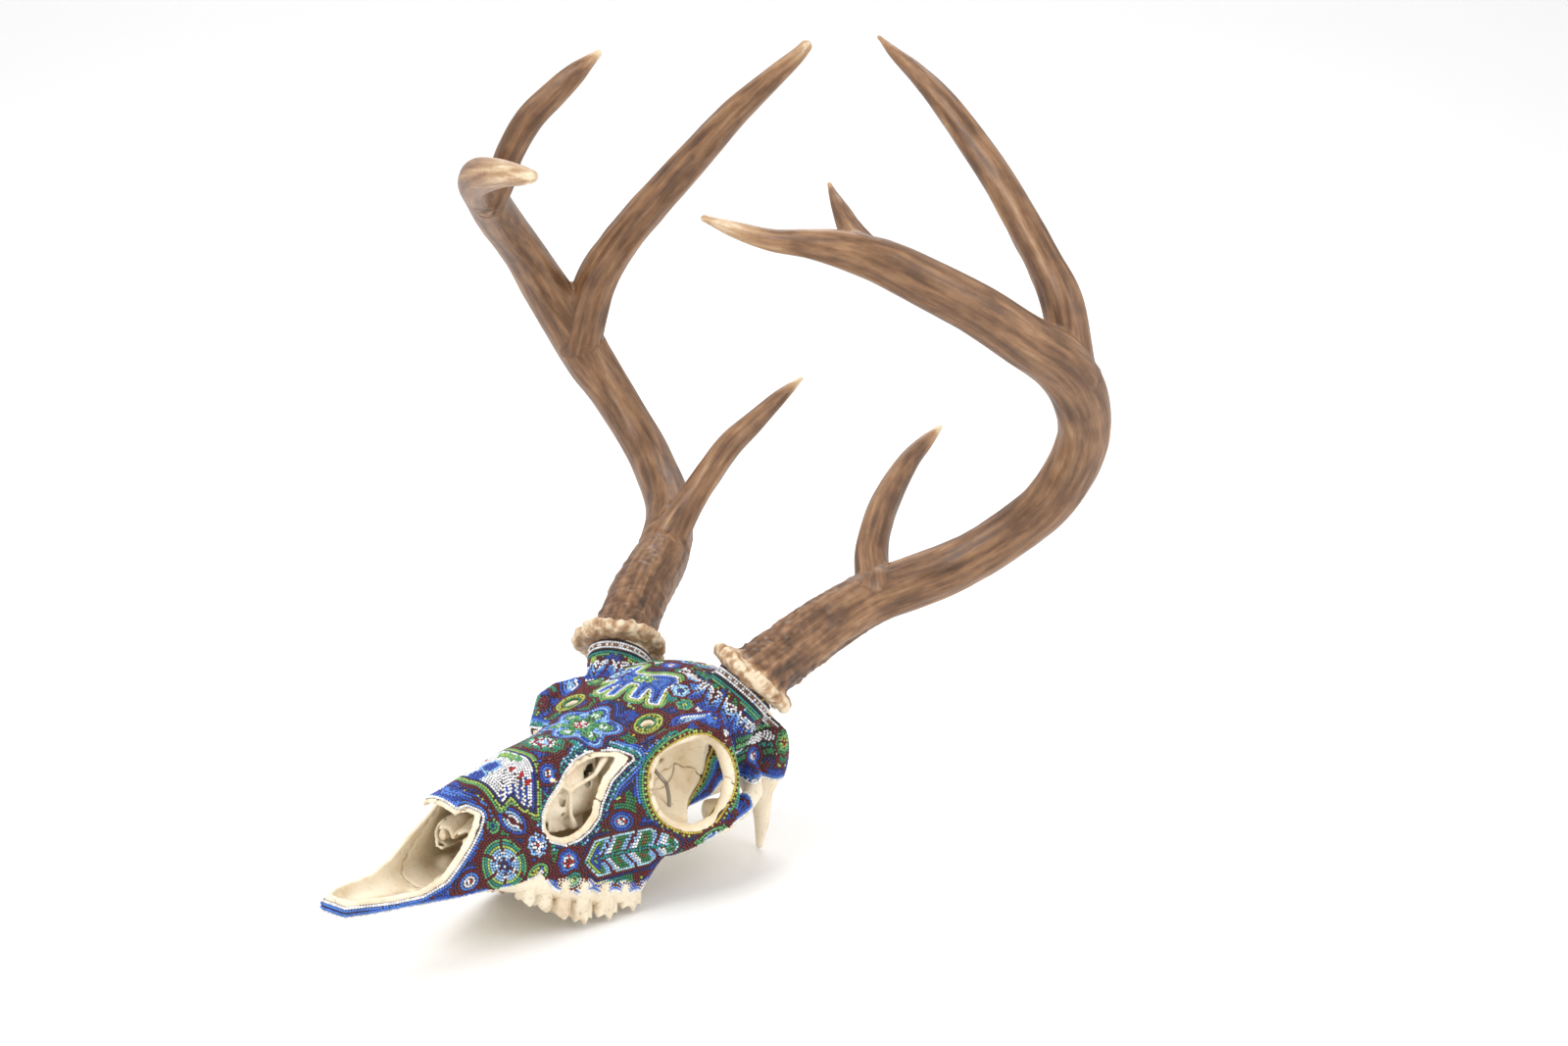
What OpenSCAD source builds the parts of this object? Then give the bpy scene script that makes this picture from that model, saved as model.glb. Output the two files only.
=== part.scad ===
// Beaded deer skull: bare skull bones, teeth, both antlers, wire and beadwork skins.
// All sizes are millimetres. The skull is drawn with its tooth plane level:
// x is the animal's left, y runs from the nose tip backwards, z is up.
// seat() then tips the nose up so that the rear teeth and the two paroccipital
// tips stand on z = 0.

/* [Skull] */
// thickness of the bone shell
bone_t = 3; // [2:0.5:5]
// thickness of the wax and beads laid on the bone
bead_t = 2; // [1.5:0.1:3]
// nose-up tilt when the skull stands on its rear teeth, degrees
tilt = 9; // [0:0.5:15]
// width of the whole skull against the drawn one
broad = 1; // [0.9:0.01:1.1]

/* [Openings] */
// radius of the foramen magnum, the round hole for the spinal cord
foramen_r = 11; // [8:0.5:14]
// half height of the eye opening
orbit_r = 21; // [18:0.5:24]

/* [Antlers] */
// radius of the main beam just above the burr
beam_r = 14; // [10:0.5:18]
// radius of the burr, the knobby ring at the antler foot
burr_r = 24; // [18:0.5:28]

/* [Wire] */
// radius of the hanging wire
wire_r = 1.2; // [0.8:0.1:2]

/* [Hidden] */
// the whole part is moved back by this much so that its box is centred
shift_y = -201.9;
// height of the tooth plane's zero above the standing surface
lift = 29.25;

// ---- lofted skull body -------------------------------------------------
// Each row: distance back from the nose tip, then seven outline points of the
// left half as [x, z], from the top of the head round to the underside.
rows = [
  [  1, [[0, 20], [4, 20], [7, 18], [8, 16], [7, 13], [4, 12], [0, 12]]],
  [ 15, [[0, 34], [7, 32], [11, 26], [13, 20], [12, 14], [7, 12], [0, 12]]],
  [ 35, [[0, 47], [8, 45], [14, 36], [17, 26], [16, 17], [9, 12], [0, 12]]],
  [ 55, [[0, 57], [9, 54], [15, 45], [19, 32], [20, 19], [11, 13], [0, 13]]],
  [ 75, [[0, 63], [9, 61], [15, 52], [20, 38], [24, 22], [14, 14], [0, 14]]],
  [ 90, [[0, 69], [10, 66], [17, 56], [23, 41], [28, 22], [17, 15], [0, 15]]],
  [110, [[0, 75], [12, 72], [19, 60], [26, 43], [31, 22], [19, 15], [0, 16]]],
  [130, [[0, 79], [14, 76], [24, 65], [31, 45], [34, 23], [20, 15], [0, 17]]],
  [150, [[0, 83], [17, 80], [29, 71], [36, 49], [37, 24], [22, 16], [0, 19]]],
  [168, [[0, 89], [20, 86], [35, 81], [43, 60], [43, 30], [24, 20], [0, 26]]],
  [188, [[0, 99], [22, 95], [44, 89], [49, 68], [46, 36], [22, 30], [0, 33]]],
  [206, [[0, 106], [22, 102], [45, 92], [39, 72], [33, 48], [19, 37], [0, 37]]],
  [222, [[0, 110], [21, 107], [38, 97], [38, 72], [32, 50], [18, 40], [0, 39]]],
  [240, [[0, 110], [20, 106], [34, 92], [37, 72], [33, 54], [18, 43], [0, 41]]],
  [258, [[0, 106], [19, 101], [32, 88], [36, 70], [33, 54], [18, 45], [0, 43]]],
  [272, [[0, 97], [17, 94], [32, 84], [38, 68], [34, 52], [17, 45], [0, 44]]],
  [281, [[0, 90], [14, 87], [27, 78], [32, 66], [29, 53], [14, 46], [0, 46]]]
];

function cm(a, b, c, d) = (9 * (b + c) - a - d) / 16;
function ctrl(h) = concat(h, [for (i = [5:-1:1]) [-h[i][0], h[i][1]]]);
function push(p, c, t) = let (v = p - c, n = norm(v)) c + v * max(0.15, (n + t) / n);
function ring(h, t) =
  let (k = ctrl(h), c = [0, (h[0][1] + h[6][1]) / 2])
  [for (i = [0:11]) for (s = [0, 1])
    push(s == 0 ? k[i] : cm(k[(i + 11) % 12], k[i], k[(i + 1) % 12], k[(i + 2) % 12]), c, t)];

// solid skin through rows a..b, moved outwards by t
module loft(t, a, b) {
  n = 24;
  last = len(rows) - 1;
  pts = [for (r = [a:b]) for (p = ring(rows[r][1], t))
    [p[0] * broad, rows[r][0] + (r == last ? max(t, 0) : r == 0 ? -max(t, 0) : 0), p[1]]];
  m = b - a;
  side = [for (r = [0:m-1]) for (i = [0:n-1])
    [r * n + i, (r + 1) * n + i, (r + 1) * n + (i + 1) % n, r * n + (i + 1) % n]];
  polyhedron(pts, concat(side, [[for (i = [0:n-1]) i]], [[for (i = [n-1:-1:0]) m * n + i]]), convexity = 8);
}

// round rod through points p with radii r, flat ends, both ends longer by e
module rod(p, r, n = 8, e = 0) {
  k = len(p);
  d = [for (i = [0:k-1]) let (v = p[min(i+1, k-1)] - p[max(i-1, 0)]) v / norm(v)];
  ref = abs(d[0][2]) < 0.8 ? [0, 0, 1] : [1, 0, 0];
  q = [for (i = [0:k-1]) p[i] + d[i] * e * ((i == k-1 ? 1 : 0) - (i == 0 ? 1 : 0))];
  pts = [for (i = [0:k-1])
    let (u0 = cross(ref, d[i]), u = u0 / norm(u0), w = cross(d[i], u))
    for (j = [0:n-1]) q[i] + (u * cos(360 * j / n) + w * sin(360 * j / n)) * r[i]];
  side = [for (i = [0:k-2]) for (j = [0:n-1])
    [i * n + j, (i + 1) * n + j, (i + 1) * n + (j + 1) % n, i * n + (j + 1) % n]];
  polyhedron(pts, concat(side, [[for (j = [0:n-1]) j]], [[for (j = [n-1:-1:0]) (k - 1) * n + j]]), convexity = 8);
}

module egg(c, r, n = 16) {
  translate(c) scale(r) sphere(1, $fn = n);
}

module both() {
  children();
  mirror([1, 0, 0]) children();
}

// ---- raised parts of the left half, grown outwards by t ----------------
module raised(t) {
  // bar behind the eye
  rod([[44, 203.4, 90.6], [51, 208, 80], [55, 211, 66.2], [54.7, 211.2, 53.2], [54.3, 208.3, 43.2]],
      [5.2 + t, 4.1 + t, 3.6 + t, 4.3 + t, 5.4 + t], 9, t);
  // cheek arch from the cheek to the ear region
  rod([[38, 160, 34], [47, 178, 34], [52, 192, 37], [55, 207, 42], [56, 222, 47], [50, 237, 53], [38, 247, 58]],
      [6 + t, 6 + t, 5 + t, 5 + t, 4 + t, 4.5 + t, 6 + t], 8, t);
  // brow rim over the eye
  rod([[38, 166, 80], [45, 178, 87], [48, 190, 90], [47, 203, 91], [40, 214, 92]], [4 + t, 4 + t, 4 + t, 4.5 + t, 5 + t], 8, t);
  // pedicle that carries the antler
  rod([[34.3, 222, 88], [40, 227, 100], [45.2, 231.5, 110.5]], [17.8 + t, 16 + t, 15.5 + t], 14, t);
  // ear region and side crest
  egg([35, 266, 58], [7 + t, 9 + t, 14 + t]);
}

// parts of the left rear underside that carry no beads
module rear_low() {
  // paroccipital process, a long tapering spike
  rod([[30, 266, 52], [31, 269, 40], [31, 271, 28], [30, 272, 13.7]], [8, 6, 4.5, 2.2]);
  // occipital condyle
  egg([14, 281, 52], [9, 9, 10]);
}

module solid_skull(t) {
  loft(t, 0, 16);
  both() raised(t);
}

// ---- openings, grown by m ----------------------------------------------
module side_cut(poly, x0, x1) {
  translate([x0, 0, 0]) rotate([90, 0, 90]) linear_extrude(x1 - x0) polygon(poly);
}

function grown(poly, m) =
  let (n = len(poly), c = [for (i = [0, 1]) let (s = [for (p = poly) p[i]]) (max(s) + min(s)) / 2])
  [for (p = poly) let (v = p - c) c + v * (norm(v) + m) / norm(v)];

vac = [[160, 76], [146, 76], [128, 74], [115, 62], [110, 50], [114, 41], [120, 38], [136, 43], [143, 55], [147, 68]];

module openings(m) {
  // nose opening
  side_cut([[-8, 17 - m], [12, 20 - m], [28, 24 - m], [42, 27 - m], [54, 31 - m], [64, 39 - m],
            [72 + m, 47], [74 + m, 52], [66 + m, 54], [60 + m, 60], [56, 90], [-8, 90]], -40, 40);
  both() {
    // window in front of the eye
    side_cut(grown(vac, m), 14, 60);
    // eye socket
    translate([52, 190, 62]) rotate([0, 0, -22]) scale([32, orbit_r + m, orbit_r + m]) sphere(1, $fn = 20);
    translate([42, 187, 62]) rotate([0, 90, -22]) cylinder(r1 = orbit_r - 1 + m, r2 = orbit_r + 1 + m, h = 30, $fn = 24);
    // small brow hole
    translate([26, 177, 80]) cylinder(r = 2 + m, h = 30, $fn = 10);
  }
}

// space inside the bone
module hollow() {
  difference() {
    loft(-bone_t, 1, 10);
    // keep the inner walls of the eye sockets
    both() translate([70, 196, 60]) rotate([0, 0, -10]) cube([100, 60, 200], center = true);
  }
  // brain space
  egg([0, 240, 75], [30, 32, 31.5], 20);
  // passage between nose and brain
  egg([0, 190, 66], [14, 36, 24], 16);
  // hollows over the eyes
  both() egg([16, 196, 86], [14, 18, 7], 12);
  // palate slots
  both() translate([3, 22, 0]) cube([4, 34, 22]);
  // rear way out of the nose
  translate([-9, 168, 10]) cube([18, 34, 34]);
}

// ---- regions that share out the shell between the bones ----------------
// [distance back, height] outlines seen from the side
reg_premaxilla = [[-9, -9], [56, -9], [60, 22], [70, 40], [79, 56], [70, 57], [60, 50], [-9, 50]];
reg_nasal = [[50, 50], [60, 50], [70, 57], [79, 56], [104, 65], [126, 72], [148, 78], [152, 130], [50, 130]];
reg_maxilla = [[56, -9], [160, -9], [160, 30], [150, 38], [143, 46], [143, 55], [128, 60],
               [126, 72], [104, 65], [79, 56], [70, 40], [60, 22]];
reg_lacrimal = [[143, 46], [150, 38], [158, 46], [172, 50], [172, 79], [148, 78], [126, 72], [128, 60], [143, 55]];
reg_jugal = [[160, 5], [203, 5], [217, 39], [217, 59], [204, 66], [180, 50], [172, 50], [158, 46], [150, 38], [160, 30]];
reg_frontal = [[148, 78], [172, 79], [172, 50], [180, 50], [204, 66], [217, 59], [230, 84], [232, 94], [236, 140], [152, 130]];
reg_squamosal = [[217, 39], [240, 48], [258, 48], [258, 86], [230, 84], [217, 59]];
reg_parietal = [[230, 84], [258, 86], [262, 130], [236, 140], [232, 94]];
reg_occipital = [[258, 48], [256, -9], [300, -9], [300, 130], [262, 130], [258, 86]];
reg_sphenoid = [[203, 5], [160, 5], [160, -9], [256, -9], [258, 48], [240, 48], [217, 39]];

module region(poly) {
  side_cut(poly, -90, 90);
}

module left_of() {
  translate([0.02, -50, -50]) cube([100, 400, 250]);
}

module right_of() {
  mirror([1, 0, 0]) left_of();
}

module shell() {
  difference() {
    loft(0, 0, 16);
    openings(0);
    hollow();
  }
  difference() {
    both() raised(0);
    hollow();
  }
}

module half_bone(poly, from = 0.02) {
  intersection() {
    shell();
    region(poly);
    translate([from, -50, -50]) cube([100, 400, 250]);
  }
}

// a part drawn for the left, placed on side s, 1 left or -1 right
module on(s) {
  if (s > 0) children();
  else mirror([1, 0, 0]) children();
}

// whole skull stood on its rear teeth and paroccipital tips
module seat() {
  translate([0, shift_y, lift]) rotate([-tilt, 0, 0]) children();
}

// wrapper that makes one mesh of what it holds
module fused() {
  resize([0, 0, 0]) children();
}

// ---- teeth --------------------------------------------------------------
// [middle back, middle out, length, width, tip height]
teeth = [
  [ 95, 25.5,  9.5,  9, 3.5],
  [106, 27.0, 10.5, 10, 1.0],
  [117, 28.5, 10.5, 11, -1.5],
  [131, 30.5, 14.0, 12, -3.5],
  [147, 32.0, 15.5, 13, -4.0],
  [163, 33.5, 15.5, 12, -2.9]
];

module tooth_plan(l, w) {
  polygon([[-w * 0.42, -l * 0.3], [0, -l * 0.5], [w * 0.42, -l * 0.5], [w * 0.34, -l * 0.25],
           [w * 0.52, 0], [w * 0.34, l * 0.25], [w * 0.46, l * 0.5], [0, l * 0.5],
           [-w * 0.42, l * 0.3], [-w * 0.34, 0]]);
}

module tooth_root(k) {
  t = teeth[k];
  translate([t[1], t[0], 8]) linear_extrude(12) scale(0.86) tooth_plan(t[2], t[3]);
}

module tooth(k) {
  t = teeth[k];
  l = t[2];
  w = t[3];
  difference() {
    union() {
      translate([t[1], t[0], t[4]]) linear_extrude(8 - t[4]) tooth_plan(l, w);
      translate([0, 0, -0.5]) tooth_root(k);
    }
    // valleys between the cusps
    for (s = [-1, 1]) translate([t[1] - 20, t[0] + s * l * 0.5, t[4] - 2.4]) rotate([45, 0, 0]) cube([40, 4.6, 4.6]);
    translate([t[1] - 20, t[0], t[4] - 2.4]) rotate([45, 0, 0]) cube([40, 3.4, 3.4]);
    translate([t[1] - w * 0.1, t[0] - 20, t[4] - 2]) rotate([0, -45, 0]) cube([3.2, 40, 3.2]);
    // slope up towards the tongue
    translate([t[1] - w * 0.2, t[0] - 20, t[4]]) rotate([0, 30, 0]) translate([-20, 0, -20]) cube([20, 40, 20]);
  }
}

// ---- antlers ------------------------------------------------------------
// left antler, from the burr up: [left, back, up] and radius of each point
beam_left = [[46, 232, 112], [53, 251, 126], [64, 272, 143], [76, 288, 156], [90, 301, 165], [109, 316, 178],
             [133, 327, 199], [154, 329, 221], [173, 318, 250], [180, 300, 273], [180, 277, 290],
             [173, 251, 301], [164, 229, 312], [151, 206, 322], [135, 187, 331], [120, 174, 335],
             [107, 164, 336], [93, 156, 336], [76, 149, 339], [58, 146, 343]];
beam_left_r = [16, 15.5, 15, 14.3, 13.8, 13.2, 12.8, 13, 13, 14, 14, 13, 12.5, 11.8, 10.8, 9, 6.8, 5.4, 4, 1.8];
brow_left = [[76, 289, 160], [64, 299, 176], [55, 315, 193], [50, 330, 207], [48, 346, 222], [49, 358, 232],
             [51, 368, 241]];
brow_left_r = [10, 8.8, 8, 7.2, 5.8, 4.2, 1.6];
second_left = [[181, 290, 282], [173, 287, 316], [159, 288, 336], [143, 290, 354], [126, 292, 372],
               [105, 295, 391], [82, 297, 411], [62, 299, 425], [45, 300, 435], [33, 301, 443]];
second_left_r = [12, 10.5, 9, 8.7, 8.3, 7.8, 6.8, 5, 3.2, 1.3];
third_left = [[130, 183, 333], [118, 183, 344], [109, 185, 353], [102, 188, 359], [96, 191, 365]];
third_left_r = [8, 6, 4.2, 2.5, 1.2];
// right antler, written as if it were on the left
beam_right = [[46, 232, 112], [60, 262, 137], [72, 291, 156], [90, 313, 176], [114, 327, 194], [135, 333, 211],
              [157, 332, 233], [171, 324, 252], [179, 310, 274], [181, 289, 295], [174, 262, 314],
              [162, 232, 329], [143, 200, 342], [131, 183, 347], [117, 170, 351], [98, 159, 353],
              [80, 151, 354], [64, 147, 354], [55, 147, 354]];
beam_right_r = [16, 16, 14.7, 13, 12, 12, 12.5, 14, 14.5, 13, 11.6, 11.8, 11, 10.3, 9.7, 8.5, 6.9, 5.2, 3.2];
brow_right = [[72, 292, 160], [67, 302, 182], [64, 313, 199], [61, 326, 216], [57, 341, 230], [52, 355, 244],
              [46, 366, 256]];
brow_right_r = [11, 8.5, 7.8, 7.2, 6, 4.4, 1.4];
second_right = [[174, 318, 262], [163, 315, 296], [148, 316, 321], [127, 319, 346], [102, 321, 373],
                [76, 320, 398], [50, 319, 419], [34, 318, 431], [26, 317, 438]];
second_right_r = [13, 12, 10.8, 10, 9.3, 8, 6, 4.4, 3.4];
third_right = [[137, 200, 338], [128, 198, 352], [121, 195, 365], [108, 194, 383], [96, 198, 397],
               [86, 203, 409], [79, 212, 421]];
third_right_r = [8, 7.5, 7.3, 7.5, 7, 5.6, 2];

module antler(s) {
  rod(s > 0 ? beam_left : beam_right, [for (r = s > 0 ? beam_left_r : beam_right_r) r * beam_r / 14], 10);
  rod(s > 0 ? brow_left : brow_right, s > 0 ? brow_left_r : brow_right_r, 8);
  rod(s > 0 ? second_left : second_right, s > 0 ? second_left_r : second_right_r, 9);
  rod(s > 0 ? third_left : third_right, s > 0 ? third_left_r : third_right_r, 8);
  // burr
  rod([[44.6, 230.4, 109.2], [45.6, 231.5, 111.4], [46.9, 233, 114.2], [48.2, 234.6, 117]],
      [beam_r + 3, burr_r, burr_r - 1, beam_r + 2], 16);
  for (a = [0:45:315]) translate([46, 232, 112.5]) rotate([-33, 22, 0]) rotate([0, 0, a]) translate([burr_r - 2.5, 0, 0])
    sphere(4, $fn = 6);
}

// ---- bead skins ---------------------------------------------------------
// skin of wax and beads over everything outside the bone, clear of the openings
module bead_shell() {
  difference() {
    solid_skull(bead_t);
    solid_skull(0);
    openings(2.4);
    // bare bone along the lower edge, left and right alike
    side_cut([[-20, -40], [-20, 10], [2, 12], [20, 13.5], [60, 15], [87, 17], [112, 13], [118, 15], [146, 13],
              [160, 15], [176, 24], [190, 33], [206, 40], [226, 48], [228, 60.4], [262, 63.6], [263, 70], [300, 66], [300, -40]], -90, 90);
    // clear of the neck hole and its rim
    translate([0, 260, 62]) rotate([-90, 0, 0]) cylinder(r = foramen_r + 5, h = 60, $fn = 20);
    // clear of both burrs
    both() translate([45.2, 231.5, 110.5]) rotate([-33, 22, 0]) translate([-60, -60, -3]) cube([120, 120, 60]);
    // clear of the condyles and the ear region's underside
    both() egg([14, 281, 52], [12, 12, 13]);
  }
}

module collar_zone(m) {
  both() rod([[30, 217, 76], [40, 227, 100], [50, 237, 124]], [22 + m, 22 + m, 22 + m], 20);
}

// one panel of the bead skin inside a side-view outline
module panel(poly) {
  intersection() {
    bead_shell();
    region(poly);
  }
}

zone_nose = [[-9, -9], [100, -9], [96, 30], [80, 56], [60, 50], [-9, 50]];
zone_bridge = [[50, 50], [60, 50], [80, 56], [96, 62], [128, 77.5], [148, 79.5], [148, 130], [50, 130]];
zone_cheek = [[100, -9], [173, -9], [173, 78.3], [148, 79.5], [128, 77.5], [96, 62], [80, 56], [96, 30]];
zone_forehead = [[148, 79.5], [173, 78.3], [173, 61], [199, 61], [205, 83], [214, 86], [226, 91], [226, 140], [148, 130]];
zone_arch = [[173, -9], [228, -9], [228, 60], [217, 70], [214, 86], [205, 83], [199, 61], [173, 61]];
zone_temple = [[228, -9], [264.1, -9], [264.1, 91], [226, 91], [214, 86], [217, 70], [228, 60]];
zone_crown = [[226, 91], [264.1, 91], [264.1, 140], [226, 140]];
zone_nape = [[264.1, -9], [310, -9], [310, 140], [264.1, 140]];

module half_panel(poly, from = 0.02) {
  intersection() {
    panel(poly);
    translate([from, -50, -50]) cube([100, 400, 250]);
  }
}

// ---- the bones, one module each ------------------------------------------
module premaxilla(s) {
  color([0.88, 0.80, 0.66]) fused() on(s) half_bone(reg_premaxilla);
}

module nasal(s) {
  color([0.90, 0.83, 0.70]) fused() on(s) half_bone(reg_nasal);
}

module maxilla(s) {
  color([0.89, 0.82, 0.68]) fused() on(s) difference() {
    union() {
      half_bone(reg_maxilla);
      // ridge that carries the teeth
      intersection() {
        rod([[23, 88, 14], [26, 106, 13], [29, 131, 12], [32, 150, 12], [34, 172, 14]], [6, 7, 8.5, 9, 7]);
        region(reg_maxilla);
        translate([0, 0, 8]) cube([60, 172, 14]);
      }
    }
    for (k = [0:5]) tooth_root(k);
    // keep the ridge out of the nose space and the palate vault
    egg([0, 130, 6], [19, 46, 9]);
  }
}

module lacrimal(s) {
  color([0.90, 0.83, 0.70]) fused() on(s) half_bone(reg_lacrimal);
}

module jugal(s) {
  color([0.89, 0.81, 0.67]) fused() on(s) half_bone(reg_jugal, 24);
}

module frontal(s) {
  color([0.91, 0.84, 0.71]) fused() on(s) half_bone(reg_frontal);
}

module parietal() {
  color([0.90, 0.82, 0.68]) fused() intersection() {
    shell();
    region(reg_parietal);
  }
}

module squamosal(s) {
  color([0.89, 0.80, 0.66]) fused() on(s) half_bone(reg_squamosal);
}

module occipital() {
  color([0.88, 0.79, 0.64]) difference() {
    fused() union() {
      intersection() {
        shell();
        region(reg_occipital);
      }
      difference() {
        both() rear_low();
        hollow();
      }
    }
    // foramen magnum, a true round wall
    translate([0, 262, 62]) rotate([-90, 0, 0]) cylinder(r = foramen_r, h = 40);
  }
}

module sphenoid() {
  color([0.88, 0.79, 0.64]) fused() intersection() {
    shell();
    region(reg_sphenoid);
    translate([-34, 203, -50]) cube([68, 400, 250]);
  }
}

// block of bone between the eye sockets
module ethmoid() {
  color([0.90, 0.83, 0.70]) fused() intersection() {
    shell();
    region(reg_jugal);
    translate([-24, -50, -50]) cube([48, 400, 250]);
  }
}

// thin upright plate on the middle of the nose floor
module vomer() {
  color([0.90, 0.83, 0.70]) side_cut([[62, 16.5], [164, 22.5], [166, 42], [120, 34], [80, 26], [64, 20]], -0.9, 0.9);
}

// scrolled bone inside the nose
module turbinate(s) {
  color([0.92, 0.86, 0.75]) fused() on(s) intersection() {
    rod([[7, 66, 36], [8, 84, 42], [9.5, 110, 47], [10, 136, 50]], [4, 6.5, 7.5, 6.5], 10);
    difference() {
      rod([[7, 66, 36], [8, 84, 42], [9.5, 110, 47], [10, 136, 50]], [4, 6.5, 7.5, 6.5], 10);
      rod([[9, 50, 35], [10, 84, 41], [11.5, 110, 46], [12, 150, 49]], [2, 4.5, 5.5, 4.5], 8);
    }
  }
}

// hollow ear capsule on the underside
module bulla(s) {
  color([0.90, 0.83, 0.70]) on(s) difference() {
    egg([20, 247, 36], [8, 10, 9], 20);
    translate([0, 0, 40]) cube([60, 300, 30]);
  }
}

module tooth_piece(s, k) {
  color([0.86, 0.78, 0.64]) fused() on(s) tooth(k - 1);
}

module antler_piece(s) {
  color([0.42, 0.27, 0.16]) fused() on(s) difference() {
    antler(s);
    solid_skull(0);
  }
}

// steel wire that once hung the skull, bent inside the left eye socket
module hanging_wire() {
  color([0.45, 0.42, 0.38]) fused()
    rod([[22, 182, 70], [27, 182, 67.5], [33, 183.8, 62.4], [33.2, 187.9, 58.4], [33.2, 190.9, 50.5], [33.4, 191, 43], [34, 189, 38]],
        [for (i = [0:6]) wire_r], 8);
}

module beads_half(s, poly, from, tint) {
  color(tint) fused() on(s) half_panel(poly, from);
}

module beads_full(poly, tint) {
  color(tint) fused() difference() {
    panel(poly);
    collar_zone(0);
  }
}

module beads_collar(s) {
  color([0.75, 0.78, 0.80]) fused() on(s) intersection() {
    bead_shell();
    collar_zone(0);
    region([[207, 84], [214, 86], [226, 91], [264.1, 91], [264.1, 160], [200, 160]]);
    left_of();
  }
}

// ---- the part -------------------------------------------------------------
seat() premaxilla(1);  // premaxilla_left
seat() premaxilla(-1);  // premaxilla_right
seat() nasal(1);  // nasal_left
seat() nasal(-1);  // nasal_right
seat() maxilla(1);  // maxilla_left
seat() maxilla(-1);  // maxilla_right
seat() lacrimal(1);  // lacrimal_left
seat() lacrimal(-1);  // lacrimal_right
seat() jugal(1);  // jugal_left
seat() jugal(-1);  // jugal_right
seat() frontal(1);  // frontal_left
seat() frontal(-1);  // frontal_right
seat() parietal();
seat() squamosal(1);  // squamosal_left
seat() squamosal(-1);  // squamosal_right
seat() occipital();
seat() sphenoid();
seat() ethmoid();
seat() vomer();
seat() turbinate(1);  // turbinate_left
seat() turbinate(-1);  // turbinate_right
seat() bulla(1);  // bulla_left
seat() bulla(-1);  // bulla_right
seat() tooth_piece(1, 1);  // tooth_left_1
seat() tooth_piece(1, 2);  // tooth_left_2
seat() tooth_piece(1, 3);  // tooth_left_3
seat() tooth_piece(1, 4);  // tooth_left_4
seat() tooth_piece(1, 5);  // tooth_left_5
seat() tooth_piece(1, 6);  // tooth_left_6
seat() tooth_piece(-1, 1);  // tooth_right_1
seat() tooth_piece(-1, 2);  // tooth_right_2
seat() tooth_piece(-1, 3);  // tooth_right_3
seat() tooth_piece(-1, 4);  // tooth_right_4
seat() tooth_piece(-1, 5);  // tooth_right_5
seat() tooth_piece(-1, 6);  // tooth_right_6
seat() antler_piece(1);  // antler_left
seat() antler_piece(-1);  // antler_right
seat() hanging_wire();
seat() beads_half(1, zone_nose, 2, [0.15, 0.30, 0.62]);  // beads_nose_left
seat() beads_half(-1, zone_nose, 2, [0.15, 0.30, 0.62]);  // beads_nose_right
seat() beads_full(zone_bridge, [0.30, 0.50, 0.74]);  // beads_bridge
seat() beads_half(1, zone_cheek, 2, [0.18, 0.38, 0.62]);  // beads_cheek_left
seat() beads_half(-1, zone_cheek, 2, [0.18, 0.38, 0.62]);  // beads_cheek_right
seat() beads_full(zone_forehead, [0.42, 0.12, 0.18]);  // beads_forehead
seat() beads_half(1, zone_arch, 30, [0.20, 0.52, 0.42]);  // beads_arch_left
seat() beads_half(-1, zone_arch, 30, [0.20, 0.52, 0.42]);  // beads_arch_right
seat() beads_half(1, zone_temple, 24, [0.12, 0.24, 0.50]);  // beads_temple_left
seat() beads_half(-1, zone_temple, 24, [0.12, 0.24, 0.50]);  // beads_temple_right
seat() beads_full(zone_crown, [0.34, 0.45, 0.70]);  // beads_crown
seat() beads_collar(1);  // beads_collar_left
seat() beads_collar(-1);  // beads_collar_right
seat() beads_full(zone_nape, [0.10, 0.22, 0.42]);  // beads_nape
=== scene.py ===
"""Beaded deer skull: bones, teeth, antlers, wire and seed-bead mosaic.

The skull is worked out in millimetres with its tooth plane level: x is the animal's left,
y runs back from the nose tip, z is up. seat() stands it on the table as the CAD does.
"""
import math
import bpy
import numpy as np
from mathutils import Matrix, Vector, kdtree


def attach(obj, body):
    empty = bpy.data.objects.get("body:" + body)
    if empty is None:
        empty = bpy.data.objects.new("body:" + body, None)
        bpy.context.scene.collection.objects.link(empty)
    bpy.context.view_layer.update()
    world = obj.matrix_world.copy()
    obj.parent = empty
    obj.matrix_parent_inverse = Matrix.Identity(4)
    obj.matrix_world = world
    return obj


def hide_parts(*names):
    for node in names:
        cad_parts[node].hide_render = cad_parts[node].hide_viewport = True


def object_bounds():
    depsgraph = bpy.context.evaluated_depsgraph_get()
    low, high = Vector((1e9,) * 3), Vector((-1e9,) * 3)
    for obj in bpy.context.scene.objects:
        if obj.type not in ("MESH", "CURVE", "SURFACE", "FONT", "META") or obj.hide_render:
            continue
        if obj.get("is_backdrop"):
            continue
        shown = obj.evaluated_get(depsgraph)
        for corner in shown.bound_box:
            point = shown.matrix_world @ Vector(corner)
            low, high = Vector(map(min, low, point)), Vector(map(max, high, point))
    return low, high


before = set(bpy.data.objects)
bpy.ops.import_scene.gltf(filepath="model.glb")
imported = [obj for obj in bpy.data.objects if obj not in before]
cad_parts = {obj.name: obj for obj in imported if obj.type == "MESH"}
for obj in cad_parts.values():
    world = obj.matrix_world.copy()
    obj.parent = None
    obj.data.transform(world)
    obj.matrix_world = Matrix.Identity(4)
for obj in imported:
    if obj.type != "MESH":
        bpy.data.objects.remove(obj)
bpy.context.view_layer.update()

TILT = math.radians(9.0)
SHIFT_Y = -201.9
LIFT = 29.25
SIDES = [("left", 1), ("right", -1)]
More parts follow.
